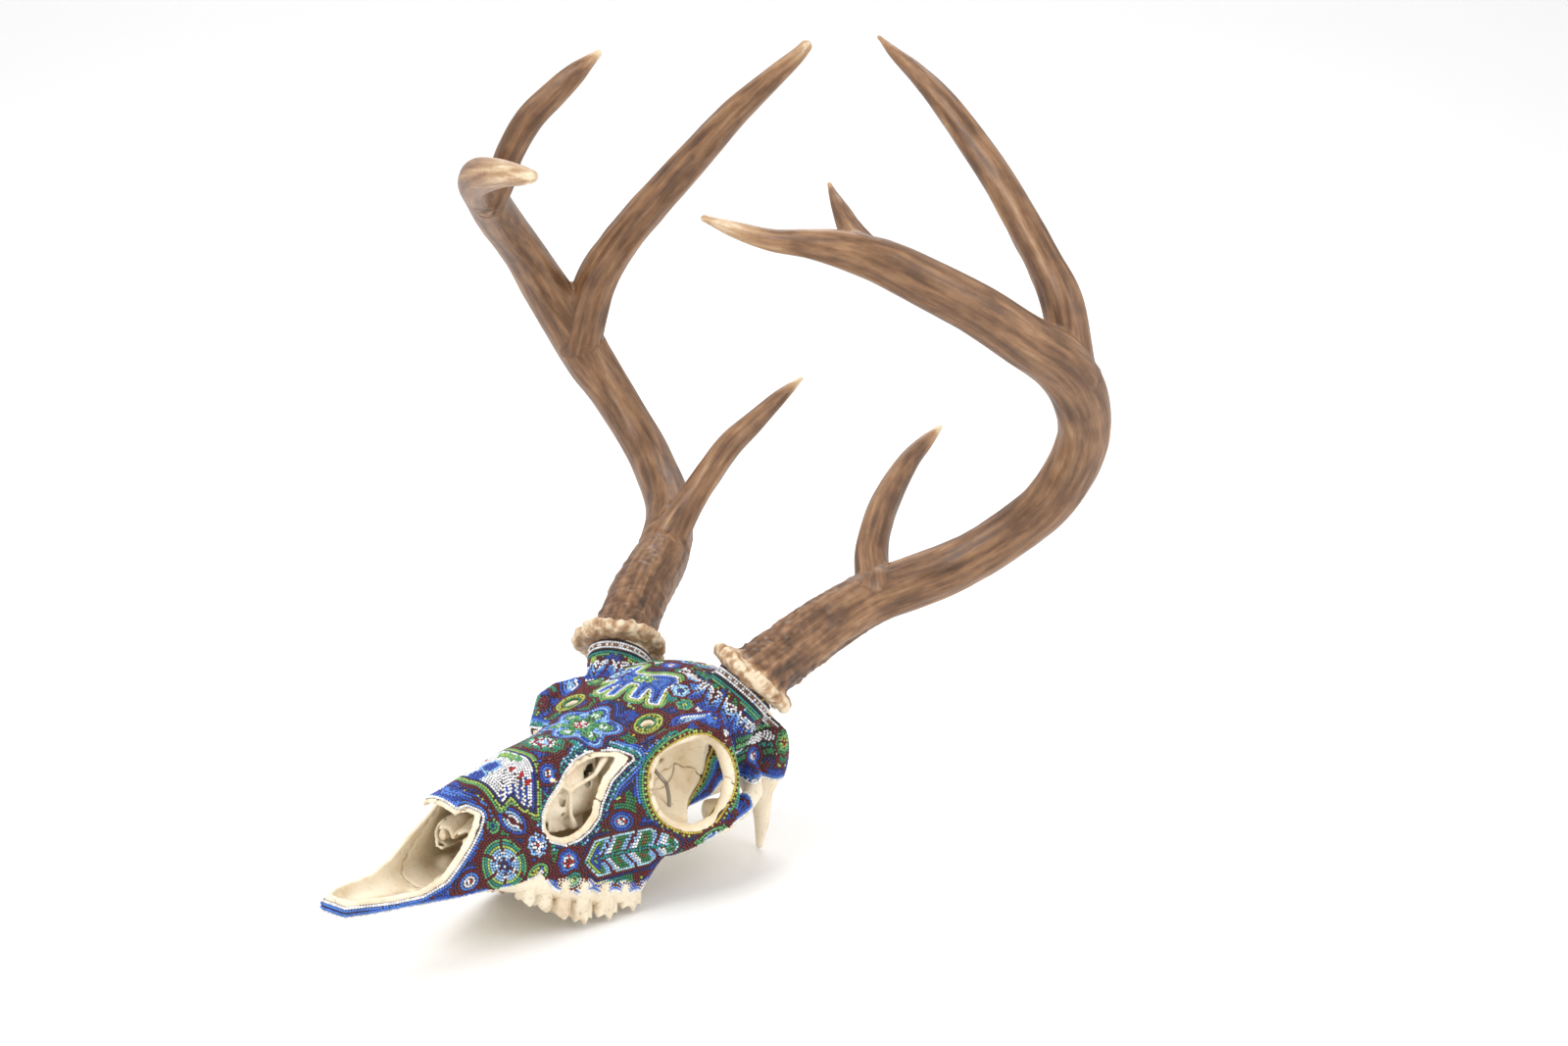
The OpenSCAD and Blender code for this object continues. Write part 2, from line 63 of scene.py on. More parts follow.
# places in the skull, each a centre or a centre line's y and z, and sizes
EYE_CENTRE = (52, 186.6, 64)
EYE_TURN = math.radians(-22)
EYE_RADII = (32, 21, 21)
BRAIN_CENTRE = (0, 240, 75)
BRAIN_RADII = (31, 33, 29)
NECK_Z = 62
NECK_RADIUS = 11
KNUCKLE = (14, 281, 52)
BROW_HOLE = (26, 177, 84)
rng = np.random.default_rng(7)


def seat(p):
    """Skull millimetres to row metres."""
    p = np.asarray(p, float)
    c = math.cos(TILT)
    s = math.sin(TILT)
    y = p[..., 1] * c + p[..., 2] * s + SHIFT_Y
    z = p[..., 2] * c - p[..., 1] * s + LIFT
    return np.stack([p[..., 0], y, z], -1) / 1000.0


# ------------------------------------------------------------------ meshes

def new_object(name, verts, faces, materials, face_slots=None):
    """A mesh object from arrays; faces is an array of triangles or quads."""
    faces = np.asarray(faces, np.int32)
    count, width = faces.shape
    mesh = bpy.data.meshes.new(name)
    mesh.vertices.add(len(verts))
    mesh.vertices.foreach_set("co", np.asarray(verts, np.float32).ravel())
    mesh.loops.add(count * width)
    mesh.loops.foreach_set("vertex_index", faces.ravel())
    mesh.polygons.add(count)
    mesh.polygons.foreach_set("loop_start", np.arange(0, count * width, width, dtype=np.int32))
    if face_slots is not None:
        mesh.polygons.foreach_set("material_index", np.asarray(face_slots, np.int32))
    mesh.polygons.foreach_set("use_smooth", np.ones(count, bool))
    mesh.update(calc_edges=True)
    mesh.validate()
    for m in materials:
        mesh.materials.append(m)
    obj = bpy.data.objects.new(name, mesh)
    bpy.context.scene.collection.objects.link(obj)
    return obj


def surface_net(field, origin, step):
    """Smooth closed surface where field crosses zero; field is negative inside."""
    inside = field < 0
    total = np.zeros(tuple(n - 1 for n in field.shape), np.int8)
    for i in (0, 1):
        for j in (0, 1):
            for k in (0, 1):
                total += inside[i:i + total.shape[0], j:j + total.shape[1], k:k + total.shape[2]]
    active = (total > 0) & (total < 8)
    cell = np.argwhere(active)
    index = np.full(active.shape, -1, np.int32)
    index[active] = np.arange(len(cell))
    corner = {}
    for i in (0, 1):
        for j in (0, 1):
            for k in (0, 1):
                corner[(i, j, k)] = field[cell[:, 0] + i, cell[:, 1] + j, cell[:, 2] + k]
    place = np.zeros((len(cell), 3))
    hits = np.zeros(len(cell))
    for a in corner:
        for axis in range(3):
            if a[axis] == 1:
                continue
            b = tuple(1 if n == axis else a[n] for n in range(3))
            fa = corner[a]
            fb = corner[b]
            cross = (fa < 0) != (fb < 0)
            t = np.where(cross, fa / np.where(cross, fa - fb, 1), 0)
            point = np.array(a, float)[None, :].repeat(len(cell), 0)
            point[:, axis] = t
            place += np.where(cross[:, None], point, 0)
            hits += cross
    verts = (cell + place / hits[:, None]) * step + np.asarray(origin)
    quads = []
    for axis in range(3):
        u = (axis + 1) % 3
        v = (axis + 2) % 3
        low = [slice(None)] * 3
        high = [slice(None)] * 3
        low[axis] = slice(0, -1)
        high[axis] = slice(1, None)
        for n in (u, v):
            low[n] = slice(1, -1)
            high[n] = slice(1, -1)
        a = inside[tuple(low)]
        b = inside[tuple(high)]
        spot = np.argwhere(a != b)
        flip = a[tuple(spot.T)]
        base = spot.copy()
        base[:, u] += 1
        base[:, v] += 1

        def at(du, dv):
            q = base.copy()
            q[:, u] += du
            q[:, v] += dv
            return index[tuple(q.T)]

        q = np.stack([at(-1, -1), at(0, -1), at(0, 0), at(-1, 0)], 1)
        q[~flip] = q[~flip][:, ::-1]
        quads.append(q)
    quads = np.concatenate(quads)
    quads = quads[(quads >= 0).all(1)]
    return verts, quads


# ------------------------------------------------------------- plain shapes

def smooth_min(a, b, k):
    """Union of two fields with a fillet of size k."""
    h = np.clip(0.5 + 0.5 * (b - a) / k, 0, 1)
    return b * (1 - h) + a * h - k * h * (1 - h)


def smooth_max(a, b, k):
    """Overlap of two fields with a fillet of size k."""
    return -smooth_min(-a, -b, k)


def rod_field(p, path, radii):
    """Distance to a tapering rod through the path's points."""
    best = np.full(p[0].shape, 1e3, np.float32)
    path = np.asarray(path, float)
    for i in range(len(path) - 1):
        a = path[i]
        d = path[i + 1] - a
        n = float(d @ d)
        t = ((p[0] - a[0]) * d[0] + (p[1] - a[1]) * d[1] + (p[2] - a[2]) * d[2]) / n
        t = np.clip(t, 0, 1)
        r = radii[i] + (radii[i + 1] - radii[i]) * t
        q = (p[0] - a[0] - t * d[0]) ** 2 + (p[1] - a[1] - t * d[1]) ** 2 + (p[2] - a[2] - t * d[2]) ** 2
        best = np.minimum(best, np.sqrt(q) - r)
    return best


def egg_field(p, centre, radii):
    """Near enough the distance to an ellipsoid."""
    q = [(p[i] - centre[i]) / radii[i] for i in range(3)]
    k = np.sqrt(q[0] ** 2 + q[1] ** 2 + q[2] ** 2)
    g = np.sqrt(sum((q[i] / radii[i]) ** 2 for i in range(3)))
    return k * (k - 1) / np.maximum(g, 1e-6)


def polygon_field(a, b, poly):
    """Signed distance in a plane to a closed outline, negative inside."""
    poly = np.asarray(poly, float)
    best = np.full(np.shape(a), 1e9)
    odd = np.zeros(np.shape(a), bool)
    for i in range(len(poly)):
        x0, y0 = poly[i - 1]
        x1, y1 = poly[i]
        dx = x1 - x0
        dy = y1 - y0
        t = np.clip(((a - x0) * dx + (b - y0) * dy) / (dx * dx + dy * dy + 1e-12), 0, 1)
        best = np.minimum(best, (a - x0 - t * dx) ** 2 + (b - y0 - t * dy) ** 2)
        if y0 != y1:
            cross = ((y0 > b) != (y1 > b)) & (a < (x1 - x0) * (b - y0) / (y1 - y0) + x0)
            odd ^= cross
    return np.where(odd, -1, 1) * np.sqrt(best)


def value_noise(p, scale, seed):
    """Smooth noise from 0 to 1 at points p (three arrays or an N by 3 array)."""
    if isinstance(p, np.ndarray) and p.ndim == 2 and p.shape[1] == 3:
        p = [p[:, 0], p[:, 1], p[:, 2]]
    q = [np.asarray(c) / scale + 31.7 for c in p]
    cell = [np.floor(c).astype(np.int64) for c in q]
    part = [c - n for c, n in zip(q, cell)]
    part = [c * c * (3 - 2 * c) for c in part]
    out = 0
    for i in (0, 1):
        for j in (0, 1):
            for k in (0, 1):
                n = (cell[0] + i) * 73856093 ^ (cell[1] + j) * 19349663 ^ (cell[2] + k) * 83492791
                n = (n ^ (seed * 2654435761)) & 0xFFFFFF
                n = (n * 1103515245 + 12345) & 0x7FFFFFFF
                n = (n >> 7) ^ n
                v = (n & 0xFFFF) / 65535.0
                w = (part[0] if i else 1 - part[0]) * (part[1] if j else 1 - part[1])
                out = out + v * w * (part[2] if k else 1 - part[2])
    return out


# ------------------------------------------------------------ skull outline
# Distance back from the nose tip, then seven outline points of the left half as (x, z),
# from the top of the head round to the underside.
ROWS = [
    (1, [(0, 20), (4, 20), (7, 18), (8, 16), (7, 13), (4, 12), (0, 12)]),
    (15, [(0, 34), (7, 32), (11, 26), (13, 20), (12, 14), (7, 12), (0, 12)]),
    (35, [(0, 47), (8, 45), (14, 36), (17, 26), (16, 17), (9, 12), (0, 12)]),
    (55, [(0, 57), (9, 54), (15, 45), (19, 32), (20, 19), (11, 13), (0, 13)]),
    (75, [(0, 63), (9, 61), (15, 52), (20, 38), (24, 22), (14, 14), (0, 14)]),
    (90, [(0, 69), (10, 66), (17, 56), (23, 41), (28, 22), (17, 15), (0, 15)]),
    (110, [(0, 75), (12, 72), (19, 60), (26, 43), (31, 23), (26, 12), (0, 16)]),
    (130, [(0, 79), (14, 76), (24, 65), (31, 45), (34, 23), (29, 7), (0, 17)]),
    (150, [(0, 83), (17, 80), (29, 71), (36, 49), (38, 22), (32, 3), (0, 19)]),
    (168, [(0, 89), (20, 86), (35, 81), (43, 60), (43, 26), (34, 6), (0, 26)]),
    (188, [(0, 99), (22, 95), (44, 89), (49, 68), (46, 36), (22, 30), (0, 33)]),
    (206, [(0, 106), (22, 102), (45, 92), (39, 72), (33, 48), (19, 37), (0, 37)]),
    (222, [(0, 110), (21, 107), (38, 97), (38, 72), (32, 50), (18, 40), (0, 39)]),
    (240, [(0, 110), (20, 106), (34, 92), (37, 72), (33, 54), (18, 43), (0, 41)]),
    (258, [(0, 106), (19, 101), (32, 88), (36, 70), (33, 54), (18, 45), (0, 43)]),
    (272, [(0, 97), (17, 94), (32, 84), (38, 68), (34, 52), (17, 45), (0, 44)]),
    (281, [(0, 90), (14, 87), (27, 78), (32, 66), (29, 53), (14, 46), (0, 46)]),
]
ROW_Y = np.array([r[0] for r in ROWS], float)
ROW_P = np.array([r[1] for r in ROWS], float)


def outline(y):
    """Closed outline of the skull at distance y, as 48 points (x, z)."""
    y = min(max(y, ROW_Y[0]), ROW_Y[-1])
    i = int(np.clip(np.searchsorted(ROW_Y, y, side="right") - 1, 0, len(ROW_Y) - 2))
    t = (y - ROW_Y[i]) / (ROW_Y[i + 1] - ROW_Y[i])

    def slope(k):
        a = max(k - 1, 0)
        b = min(k + 1, len(ROW_Y) - 1)
        return (ROW_P[b] - ROW_P[a]) / (ROW_Y[b] - ROW_Y[a])

    w = ROW_Y[i + 1] - ROW_Y[i]
    h00 = 2 * t ** 3 - 3 * t ** 2 + 1
    h10 = t ** 3 - 2 * t ** 2 + t
    h01 = -2 * t ** 3 + 3 * t ** 2
    h11 = t ** 3 - t ** 2
    half = h00 * ROW_P[i] + h10 * w * slope(i) + h01 * ROW_P[i + 1] + h11 * w * slope(i + 1)
    ring = np.concatenate([half, half[-2:0:-1] * [-1, 1]])
    n = len(ring)
    out = []
    for k in range(n):
        a, b, c, d = (ring[(k + m - 1) % n] for m in range(4))
        for t in (0, 0.25, 0.5, 0.75):
            out.append(0.5 * (2 * b + (c - a) * t + (2 * a - 5 * b + 4 * c - d) * t * t
                              + (3 * b - a - 3 * c + d) * t ** 3))
    return np.array(out)


STEP = 1.1
GRID_LOW = np.array([-1.5 * STEP, -4.0, -3.6])
GRID_N = (60, 272, 118)
gx = GRID_LOW[0] + STEP * np.arange(GRID_N[0])
gy = GRID_LOW[1] + STEP * np.arange(GRID_N[1])
gz = GRID_LOW[2] + STEP * np.arange(GRID_N[2])
P = np.meshgrid(gx, gy, gz, indexing="ij")
P = [c.astype(np.float32) for c in P]
AY, AZ = np.meshgrid(gy, gz, indexing="ij")


def body_field():
    """The outer skin of the skull without its raised parts, from the outline rows."""
    out = np.empty(GRID_N, np.float32)
    sx, sz = np.meshgrid(gx, gz, indexing="ij")
    for j, y in enumerate(gy):
        out[:, j, :] = polygon_field(sx, sz, outline(y))
    out = np.maximum(out, (1 - P[1]) * 0.8)
    return smooth_max(out, P[1] - 282.5, 5)


EYE_BAR = [(44, 203.4, 90.6), (51, 208, 80), (55, 211, 66), (55, 211.5, 53), (54, 208.6, 42.3)]
CHEEK_ARCH = [(34, 158, 34), (47, 178, 34), (52, 192, 37), (55, 207, 42), (56, 222, 47), (50, 237, 53),
              (38, 247, 58)]
BROW_RIM = [(33, 162, 77), (45, 178, 87), (48, 190, 90), (47, 203, 91), (36, 216, 92)]
PEDICLE = [(34, 222, 88), (40, 227, 100), (45.2, 231.5, 110.5)]
WINDOW = [(155, 75.4), (143, 74.2), (135, 71.5), (128, 67), (122.5, 61), (116, 55), (112.2, 50),
          (111, 44.6), (113.3, 41),
          (119.4, 39.4), (126, 41), (132, 44.8), (136.5, 49.6), (138.4, 55.4), (142.5, 62), (145.6, 67),
          (151, 71.6)]


def raised_field():
    """Eye bar, cheek arch, brow rim, antler stump and the lump at the ear."""
    out = rod_field(P, EYE_BAR, [5.2, 4.1, 3.6, 4.3, 5.4])
    out = smooth_min(out, rod_field(P, CHEEK_ARCH, [6, 6, 5, 5, 4, 4.5, 6]), 3)
    out = smooth_min(out, rod_field(P, BROW_RIM, [4, 4, 4, 4.5, 5]), 3)
    out = smooth_min(out, rod_field(P, PEDICLE, [18, 16, 15.5]), 5)
    return smooth_min(out, egg_field(P, (35.2, 267, 65.2), (7, 11, 19)), 3)


def side_field(poly):
    """Field of a side-view outline pushed through along x."""
    f = polygon_field(AY, AZ, poly).astype(np.float32)
    return np.broadcast_to(f[None], GRID_N)


def eye_at(p):
    """The eye socket: a bowl behind a round mouth."""
    dx, dy, dz = (c - e for c, e in zip(p, EYE_CENTRE))
    u = dx * math.cos(EYE_TURN) + dy * math.sin(EYE_TURN)
    v = -dx * math.sin(EYE_TURN) + dy * math.cos(EYE_TURN)
    bowl = egg_field((u, v, dz), (0, 0, 0), EYE_RADII)
    mouth = np.maximum(np.sqrt(v * v + dz * dz) - (20.3 + 0.05 * u), -u - 8)
    return smooth_min(bowl, mouth, 2)


NOSE_SIDE = [(-12, 19.6), (10, 21), (24, 21.3), (38, 22.4), (50, 27.6), (59, 36), (66, 42.6), (71, 48.4),
             (73.6, 52.6),
             (69, 54.6), (63, 53.4), (60.5, 55.5), (59, 58), (57, 60), (56, 90), (-12, 90)]
print("body")
body = body_field()
raised = raised_field()
solid = smooth_min(body, raised, 3.5)
nose = side_field(NOSE_SIDE)
window = np.maximum(side_field(WINDOW), 14 - P[0])
eye = eye_at(P)

# ------------------------------------------------------------- bone pieces

def shell_field():
    """Thin bone walls of the left half, with its hollows and openings."""
    y = P[1]
    wall = 2.3 + 1.2 * np.clip((y - 150) / 60, 0, 1)
    inner = body + wall
    # nose space, ending before the eye sockets
    nose_space = smooth_max(inner, y - 158, 6)
    brain = egg_field(P, BRAIN_CENTRE, BRAIN_RADII)
    brain = smooth_max(brain, body + 4.5, 3)
    middle = egg_field(P, (0, 186, 62), (14, 34, 27))
    sinus = smooth_max(egg_field(P, (15, 195, 88), (17, 22, 9)), body + 3.5, 2)
    hollow = np.minimum(np.minimum(nose_space, brain), np.minimum(middle, sinus))
    # thin wall that keeps the eye socket closed on its inner side
    hollow = smooth_max(hollow, -(eye + 2.2), 2)
    slots = np.maximum(np.maximum(np.abs(P[0] - 5.2) - 2.4, np.abs(y - 38) - 17), P[2] - 22)
    slots = smooth_max(slots, rod_like(5.2, 22, 55), 2)
    way_out = egg_field(P, (0, 190, 22), (10, 24, 16))
    hollow = np.minimum(np.minimum(hollow, slots), way_out)
    f = smooth_max(solid, -hollow, 1.5)
    f = smooth_max(f, -nose, 1.2)
    f = smooth_max(f, -window, 1.2)
    f = smooth_max(f, -np.maximum(eye, 12 - P[0]), 1.5)
    # rim of the eye socket, rolled outwards, and the bar behind it
    rim = np.maximum(smooth_min(rod_field(P, EYE_BAR, [5.0, 3.9, 3.4, 4.1, 5.2]),
                                rod_field(P, BROW_RIM, [3.9, 3.9, 3.9, 4.4, 4.9]), 3), -brain)
    f = smooth_min(f, rim, 2)
    f = smooth_min(f, np.maximum(rod_field(P, CHEEK_ARCH, [5.5, 5.5, 4.7, 4.8, 3.9, 4.4, 6]), -hollow), 2)
    # small holes: brow, tear duct, optic nerve, cheek
    for c, r in ((BROW_HOLE, (2.4, 3.4, 9)), ((39, 164.5, 67), (4, 3, 1.9)), ((41, 166, 59), (4, 3, 1.7)),
                 ((16, 203, 60), (7, 2.6, 2.4)), ((19, 196, 68), (5, 1.5, 1.5)),
                 ((26, 96, 30), (6, 2.6, 1.6))):
        f = smooth_max(f, -egg_field(P, c, r), 1.0)
    return f


def rod_like(x, y0, y1):
    """Rounded ends for a slot in the palate."""
    ends = np.maximum(np.abs(P[1] - (y0 + y1) / 2) - (y1 - y0) / 2 + 2.4, 0)
    return np.sqrt((P[0] - x) ** 2 + ends ** 2) - 2.6


REGION = {
    "premaxilla": [(-19, -19), (56, -19), (60, 22), (70, 40), (79, 56), (70, 57), (60, 50), (-19, 50)],
    "nasal": [(50, 50), (60, 50), (70, 57), (79, 56), (104, 65), (126, 72), (148, 78), (152, 150),
              (50, 150)],
    "maxilla": [(56, -19), (173, -19), (173, 18), (160, 30), (150, 38), (143, 46), (143, 55), (128, 60),
                (126, 72), (104, 65), (79, 56), (70, 40), (60, 22)],
    "lacrimal": [(143, 46), (150, 38), (158, 46), (172, 50), (172, 79), (148, 78), (126, 72), (128, 60),
                 (143, 55)],
    "jugal": [(173, 5), (203, 5), (217, 39), (217, 59), (204, 66), (180, 50), (172, 50), (158, 46),
              (150, 38), (160, 30),
              (173, 18)],
    "frontal": [(148, 78), (172, 79), (172, 50), (180, 50), (204, 66), (217, 59), (230, 84), (232, 94),
                (236, 150),
                (152, 150)],
    "squamosal": [(217, 39), (240, 48), (258, 48), (258, 86), (230, 84), (217, 59)],
    "parietal": [(230, 84), (258, 86), (262, 150), (236, 150), (232, 94)],
    "occipital": [(258, 48), (256, -19), (310, -19), (310, 150), (262, 150), (258, 86)],
    "sphenoid": [(203, 5), (173, 5), (173, -19), (256, -19), (258, 48), (240, 48), (217, 39)],
}


def region_field(name):
    """A bone's share of the shell, its sutures a little jagged."""
    y = AY + 0.8 * np.sin(AZ * 1.15) + 0.5 * np.sin(AZ * 2.3 + 1)
    z = AZ + 0.8 * np.sin(AY * 1.2) + 0.5 * np.sin(AY * 2.1 + 2)
    return polygon_field(y, z, REGION[name]).astype(np.float32)[None] + 0.1


def cropped_net(f, low_x):
    """Surface net of only the part of the grid that holds something."""
    near = f < 1.5 * STEP
    spans = []
    for axis in range(3):
        other = tuple(n for n in range(3) if n != axis)
        hit = np.flatnonzero(near.any(other))
        if len(hit) == 0:
            return None
        spans.append((max(hit[0] - 2, 0), min(hit[-1] + 3, f.shape[axis])))
    (a, b), (c, d), (e, g) = spans
    sub = np.pad(f[a:b, c:d, e:g], 1, constant_values=2.0)
    origin = np.array([low_x + (a - 1) * STEP, GRID_LOW[1] + (c - 1) * STEP, GRID_LOW[2] + (e - 1) * STEP])
    return surface_net(sub, origin, STEP)


def drop_crumbs(verts, quads, keep=150):
    """Leaves out loose scraps of fewer faces than keep."""
    label = np.arange(len(verts))
    while True:
        low = label[quads].min(1)
        before = label.copy()
        for k in range(4):
            np.minimum.at(label, quads[:, k], low)
        label = label[label]
        if (label == before).all():
            break
    group = label[quads[:, 0]]
    ids, count = np.unique(group, return_counts=True)
    good = np.isin(group, ids[count >= keep])
    quads = quads[good]
    used = np.unique(quads)
    remap = np.full(len(verts), -1)
    remap[used] = np.arange(len(used))
    return verts[used], remap[quads]


def weather(verts, amount=0.18):
    """Slight unevenness, as on real bone."""
    n = value_noise(verts, 5.0, 3) + 0.5 * value_noise(verts, 2.1, 4) - 0.75
    return verts + amount * n[:, None] * np.array([0.6, 0.5, 0.6])


# --------------------------------------------------------------- materials

def material(name, color, rough=0.5, metal=0.0, subsurface=0.0):
    """A plain material with set values, for a node tree to be added to."""
    m = bpy.data.materials.new(name)
    m.use_nodes = True
    b = m.node_tree.nodes["Principled BSDF"]
    b.inputs["Base Color"].default_value = (*color, 1)
    b.inputs["Roughness"].default_value = rough
    b.inputs["Metallic"].default_value = metal
    b.inputs["Subsurface Weight"].default_value = subsurface
    b.inputs["Subsurface Scale"].default_value = 0.002
    return m


def add(tree, kind, **values):
    """A shader node; values are its inputs or its own settings."""
    n = tree.nodes.new(kind)
    for key, value in values.items():
        if key in n.inputs:
            n.inputs[key].default_value = value
        else:
            setattr(n, key, value)
    return n


def ramp(tree, fac, stops):
    """Colour from a number, through (place, colour) stops."""
    r = tree.nodes.new("ShaderNodeValToRGB")
    tree.links.new(fac, r.inputs["Fac"])
    el = r.color_ramp.elements
    el[0].position = stops[0][0]
    el[0].color = (*stops[0][1], 1)
    el[1].position = stops[-1][0]
    el[1].color = (*stops[-1][1], 1)
    for at, color in stops[1:-1]:
        e = el.new(at)
        e.color = (*color, 1)
    return r.outputs["Color"]


def bone_material(name, pale, warm, dark, rough, pits=0.4):
    """Cream bone: warm patches, faint brown in the fine pits."""
    m = material(name, pale, rough, subsurface=0.08)
    t = m.node_tree
    b = t.nodes["Principled BSDF"]
    co = add(t, "ShaderNodeTexCoord").outputs["Object"]
    wide = add(t, "ShaderNodeTexNoise", Scale=55.0, Detail=4.0, Roughness=0.6)
    fine = add(t, "ShaderNodeTexNoise", Scale=420.0, Detail=3.0, Roughness=0.6)
    t.links.new(co, wide.inputs["Vector"])
    t.links.new(co, fine.inputs["Vector"])
    base = ramp(t, wide.outputs["Fac"], [(0.34, warm), (0.52, pale),
                                         (0.7, tuple(min(1, c * 1.05) for c in pale))])
    spots = ramp(t, fine.outputs["Fac"], [(0.28, dark), (0.42, (1, 1, 1))])
    mix = add(t, "ShaderNodeMixRGB", blend_type="MULTIPLY")
    mix.inputs["Fac"].default_value = pits
    t.links.new(base, mix.inputs["Color1"])
    t.links.new(spots, mix.inputs["Color2"])
    t.links.new(mix.outputs["Color"], b.inputs["Base Color"])
    bump = add(t, "ShaderNodeBump", Strength=0.25, Distance=0.0004)
    t.links.new(fine.outputs["Fac"], bump.inputs["Height"])
    t.links.new(bump.outputs["Normal"], b.inputs["Normal"])
    return m


BONE = bone_material("bone", (0.83, 0.73, 0.56), (0.72, 0.58, 0.39), (0.55, 0.38, 0.22), 0.5)
TOOTH = bone_material("tooth_enamel", (0.80, 0.70, 0.53), (0.60, 0.44, 0.27), (0.32, 0.20, 0.11), 0.3, 0.6)
STEEL = material("wire_steel", (0.30, 0.27, 0.24), 0.35, metal=0.9)


def antler_material():
    """Brown antler: tone comes from the mesh, streaks from stretched noise."""
    m = material("antler", (0.25, 0.14, 0.07), 0.42)
    t = m.node_tree
    b = t.nodes["Principled BSDF"]
    tone = add(t, "ShaderNodeAttribute", attribute_name="tone").outputs["Fac"]
    along = add(t, "ShaderNodeAttribute", attribute_name="grain").outputs["Vector"]
    streak = add(t, "ShaderNodeTexNoise", Scale=1.0, Detail=5.0, Roughness=0.62)
    t.links.new(along, streak.inputs["Vector"])
    co = add(t, "ShaderNodeTexCoord").outputs["Object"]
    blotch = add(t, "ShaderNodeTexNoise", Scale=60.0, Detail=4.0, Roughness=0.6)
    t.links.new(co, blotch.inputs["Vector"])
    s1 = add(t, "ShaderNodeMath", operation="MULTIPLY_ADD")
    s1.inputs[1].default_value = 0.75
    t.links.new(streak.outputs["Fac"], s1.inputs[0])
    t.links.new(tone, s1.inputs[2])
    s2 = add(t, "ShaderNodeMath", operation="MULTIPLY_ADD")
    s2.inputs[1].default_value = 0.35
    t.links.new(blotch.outputs["Fac"], s2.inputs[0])
    t.links.new(s1.outputs[0], s2.inputs[2])
    color = ramp(t, s2.outputs[0], [(0.30, (0.045, 0.02, 0.008)), (0.50, (0.13, 0.06, 0.025)),
                                    (0.68, (0.27, 0.14, 0.065)), (0.86, (0.45, 0.28, 0.15)),
                                    (1.0, (0.74, 0.60, 0.42))])
    t.links.new(color, b.inputs["Base Color"])
    bump = add(t, "ShaderNodeBump", Strength=0.4, Distance=0.0006)
    t.links.new(streak.outputs["Fac"], bump.inputs["Height"])
    t.links.new(bump.outputs["Normal"], b.inputs["Normal"])
    return m


ANTLER = antler_material()


def finish_piece(obj, slot_name, *nodes):
    """Ties a visible piece to its body and hides its CAD nodes; slot_name is not used."""
    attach(obj, "root")
    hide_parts(*nodes)


# ------------------------------------------------------------------- bones
shell = shell_field()


def left_and_right(name, verts, quads, mat, slot_name):
    """The same mesh on both sides; name has {} where left or right goes."""
    for side, sign in SIDES:
        v = seat(verts * [sign, 1, 1])
        q = quads if sign > 0 else quads[:, ::-1]
        node = name.format(side)
        finish_piece(new_object(node + "_piece", v, q, [mat]), slot_name, node)


def tooth_ridge():
    """Bone ridge that carries the cheek teeth, scalloped between their roots."""
    ridge = rod_field(P, [(20, 90, 19), (23, 102, 18), (26, 116, 16), (28.5, 135, 12), (31, 150, 9.5),
                          (33, 168, 11),
                          (34, 180, 16)], [5, 6.5, 7.5, 8.5, 9, 9, 6])
    ridge = smooth_max(ridge, body - 0.4 - 0.7 * np.cos((P[1] - 107) * 0.51), 1.5)
    return smooth_max(ridge, -egg_field(P, (0, 130, 3), (17, 50, 9)), 2)


def rear_low():
    """The spike under the ear and the knuckle beside the neck hole."""
    spike = rod_field(P, [(30, 266, 52), (31, 269, 40), (31, 271, 28), (30, 272, 15.5)], [8, 5.5, 4.0, 1.9])
    knuckle = egg_field(P, KNUCKLE, (8.5, 9, 10))
    f = smooth_min(spike, knuckle, 3)
    return np.maximum(f, -egg_field(P, BRAIN_CENTRE, BRAIN_RADII))


neck_hole = np.maximum(np.sqrt(P[0] ** 2 + (P[2] - NECK_Z) ** 2) - NECK_RADIUS, 260 - P[1])
ridge = tooth_ridge()
low = rear_low()
x_side = 0.1 - P[0]
for bone in ("premaxilla", "nasal", "maxilla", "lacrimal", "jugal", "frontal", "squamosal"):
    f = shell
    if bone == "maxilla":
        f = smooth_min(shell, ridge, 3)
    f = np.maximum(np.maximum(f, region_field(bone)), x_side)
    if bone == "jugal":
        f = np.maximum(f, 24 - P[0])
    v, q = cropped_net(f, GRID_LOW[0])
    v, q = drop_crumbs(v, q)
    left_and_right(bone + "_{}", weather(v), q, BONE, "bone")


def whole(f):
    """Both halves of a left-half field."""
    half = f[2:]
    return np.concatenate([half[::-1], half])


WHOLE_LOW = -(GRID_N[0] - 2 - 0.5) * STEP
for bone in ("parietal", "occipital", "sphenoid", "ethmoid"):
    f = shell
    if bone == "occipital":
        f = smooth_min(shell, low, 4)
        f = smooth_max(f, -neck_hole, 1.5)
    f = np.maximum(f, region_field("jugal" if bone == "ethmoid" else bone))
    if bone == "ethmoid":
        f = np.maximum(f, P[0] - 23.8)
    if bone == "sphenoid":
        f = np.maximum(f, 203 - P[1])
    v, q = cropped_net(whole(f), WHOLE_LOW)
    v, q = drop_crumbs(v, q)
    finish_piece(new_object(bone + "_piece", seat(weather(v)), q, [BONE]), "bone", bone)


def local_net(field, low, high, step):
    """Surface net of a field function inside its own box."""
    axes = [np.arange(a - 2 * step, b + 2 * step, step) for a, b in zip(low, high)]
    p = np.meshgrid(*axes, indexing="ij")
    return surface_net(field(p), [a[0] for a in axes], step)


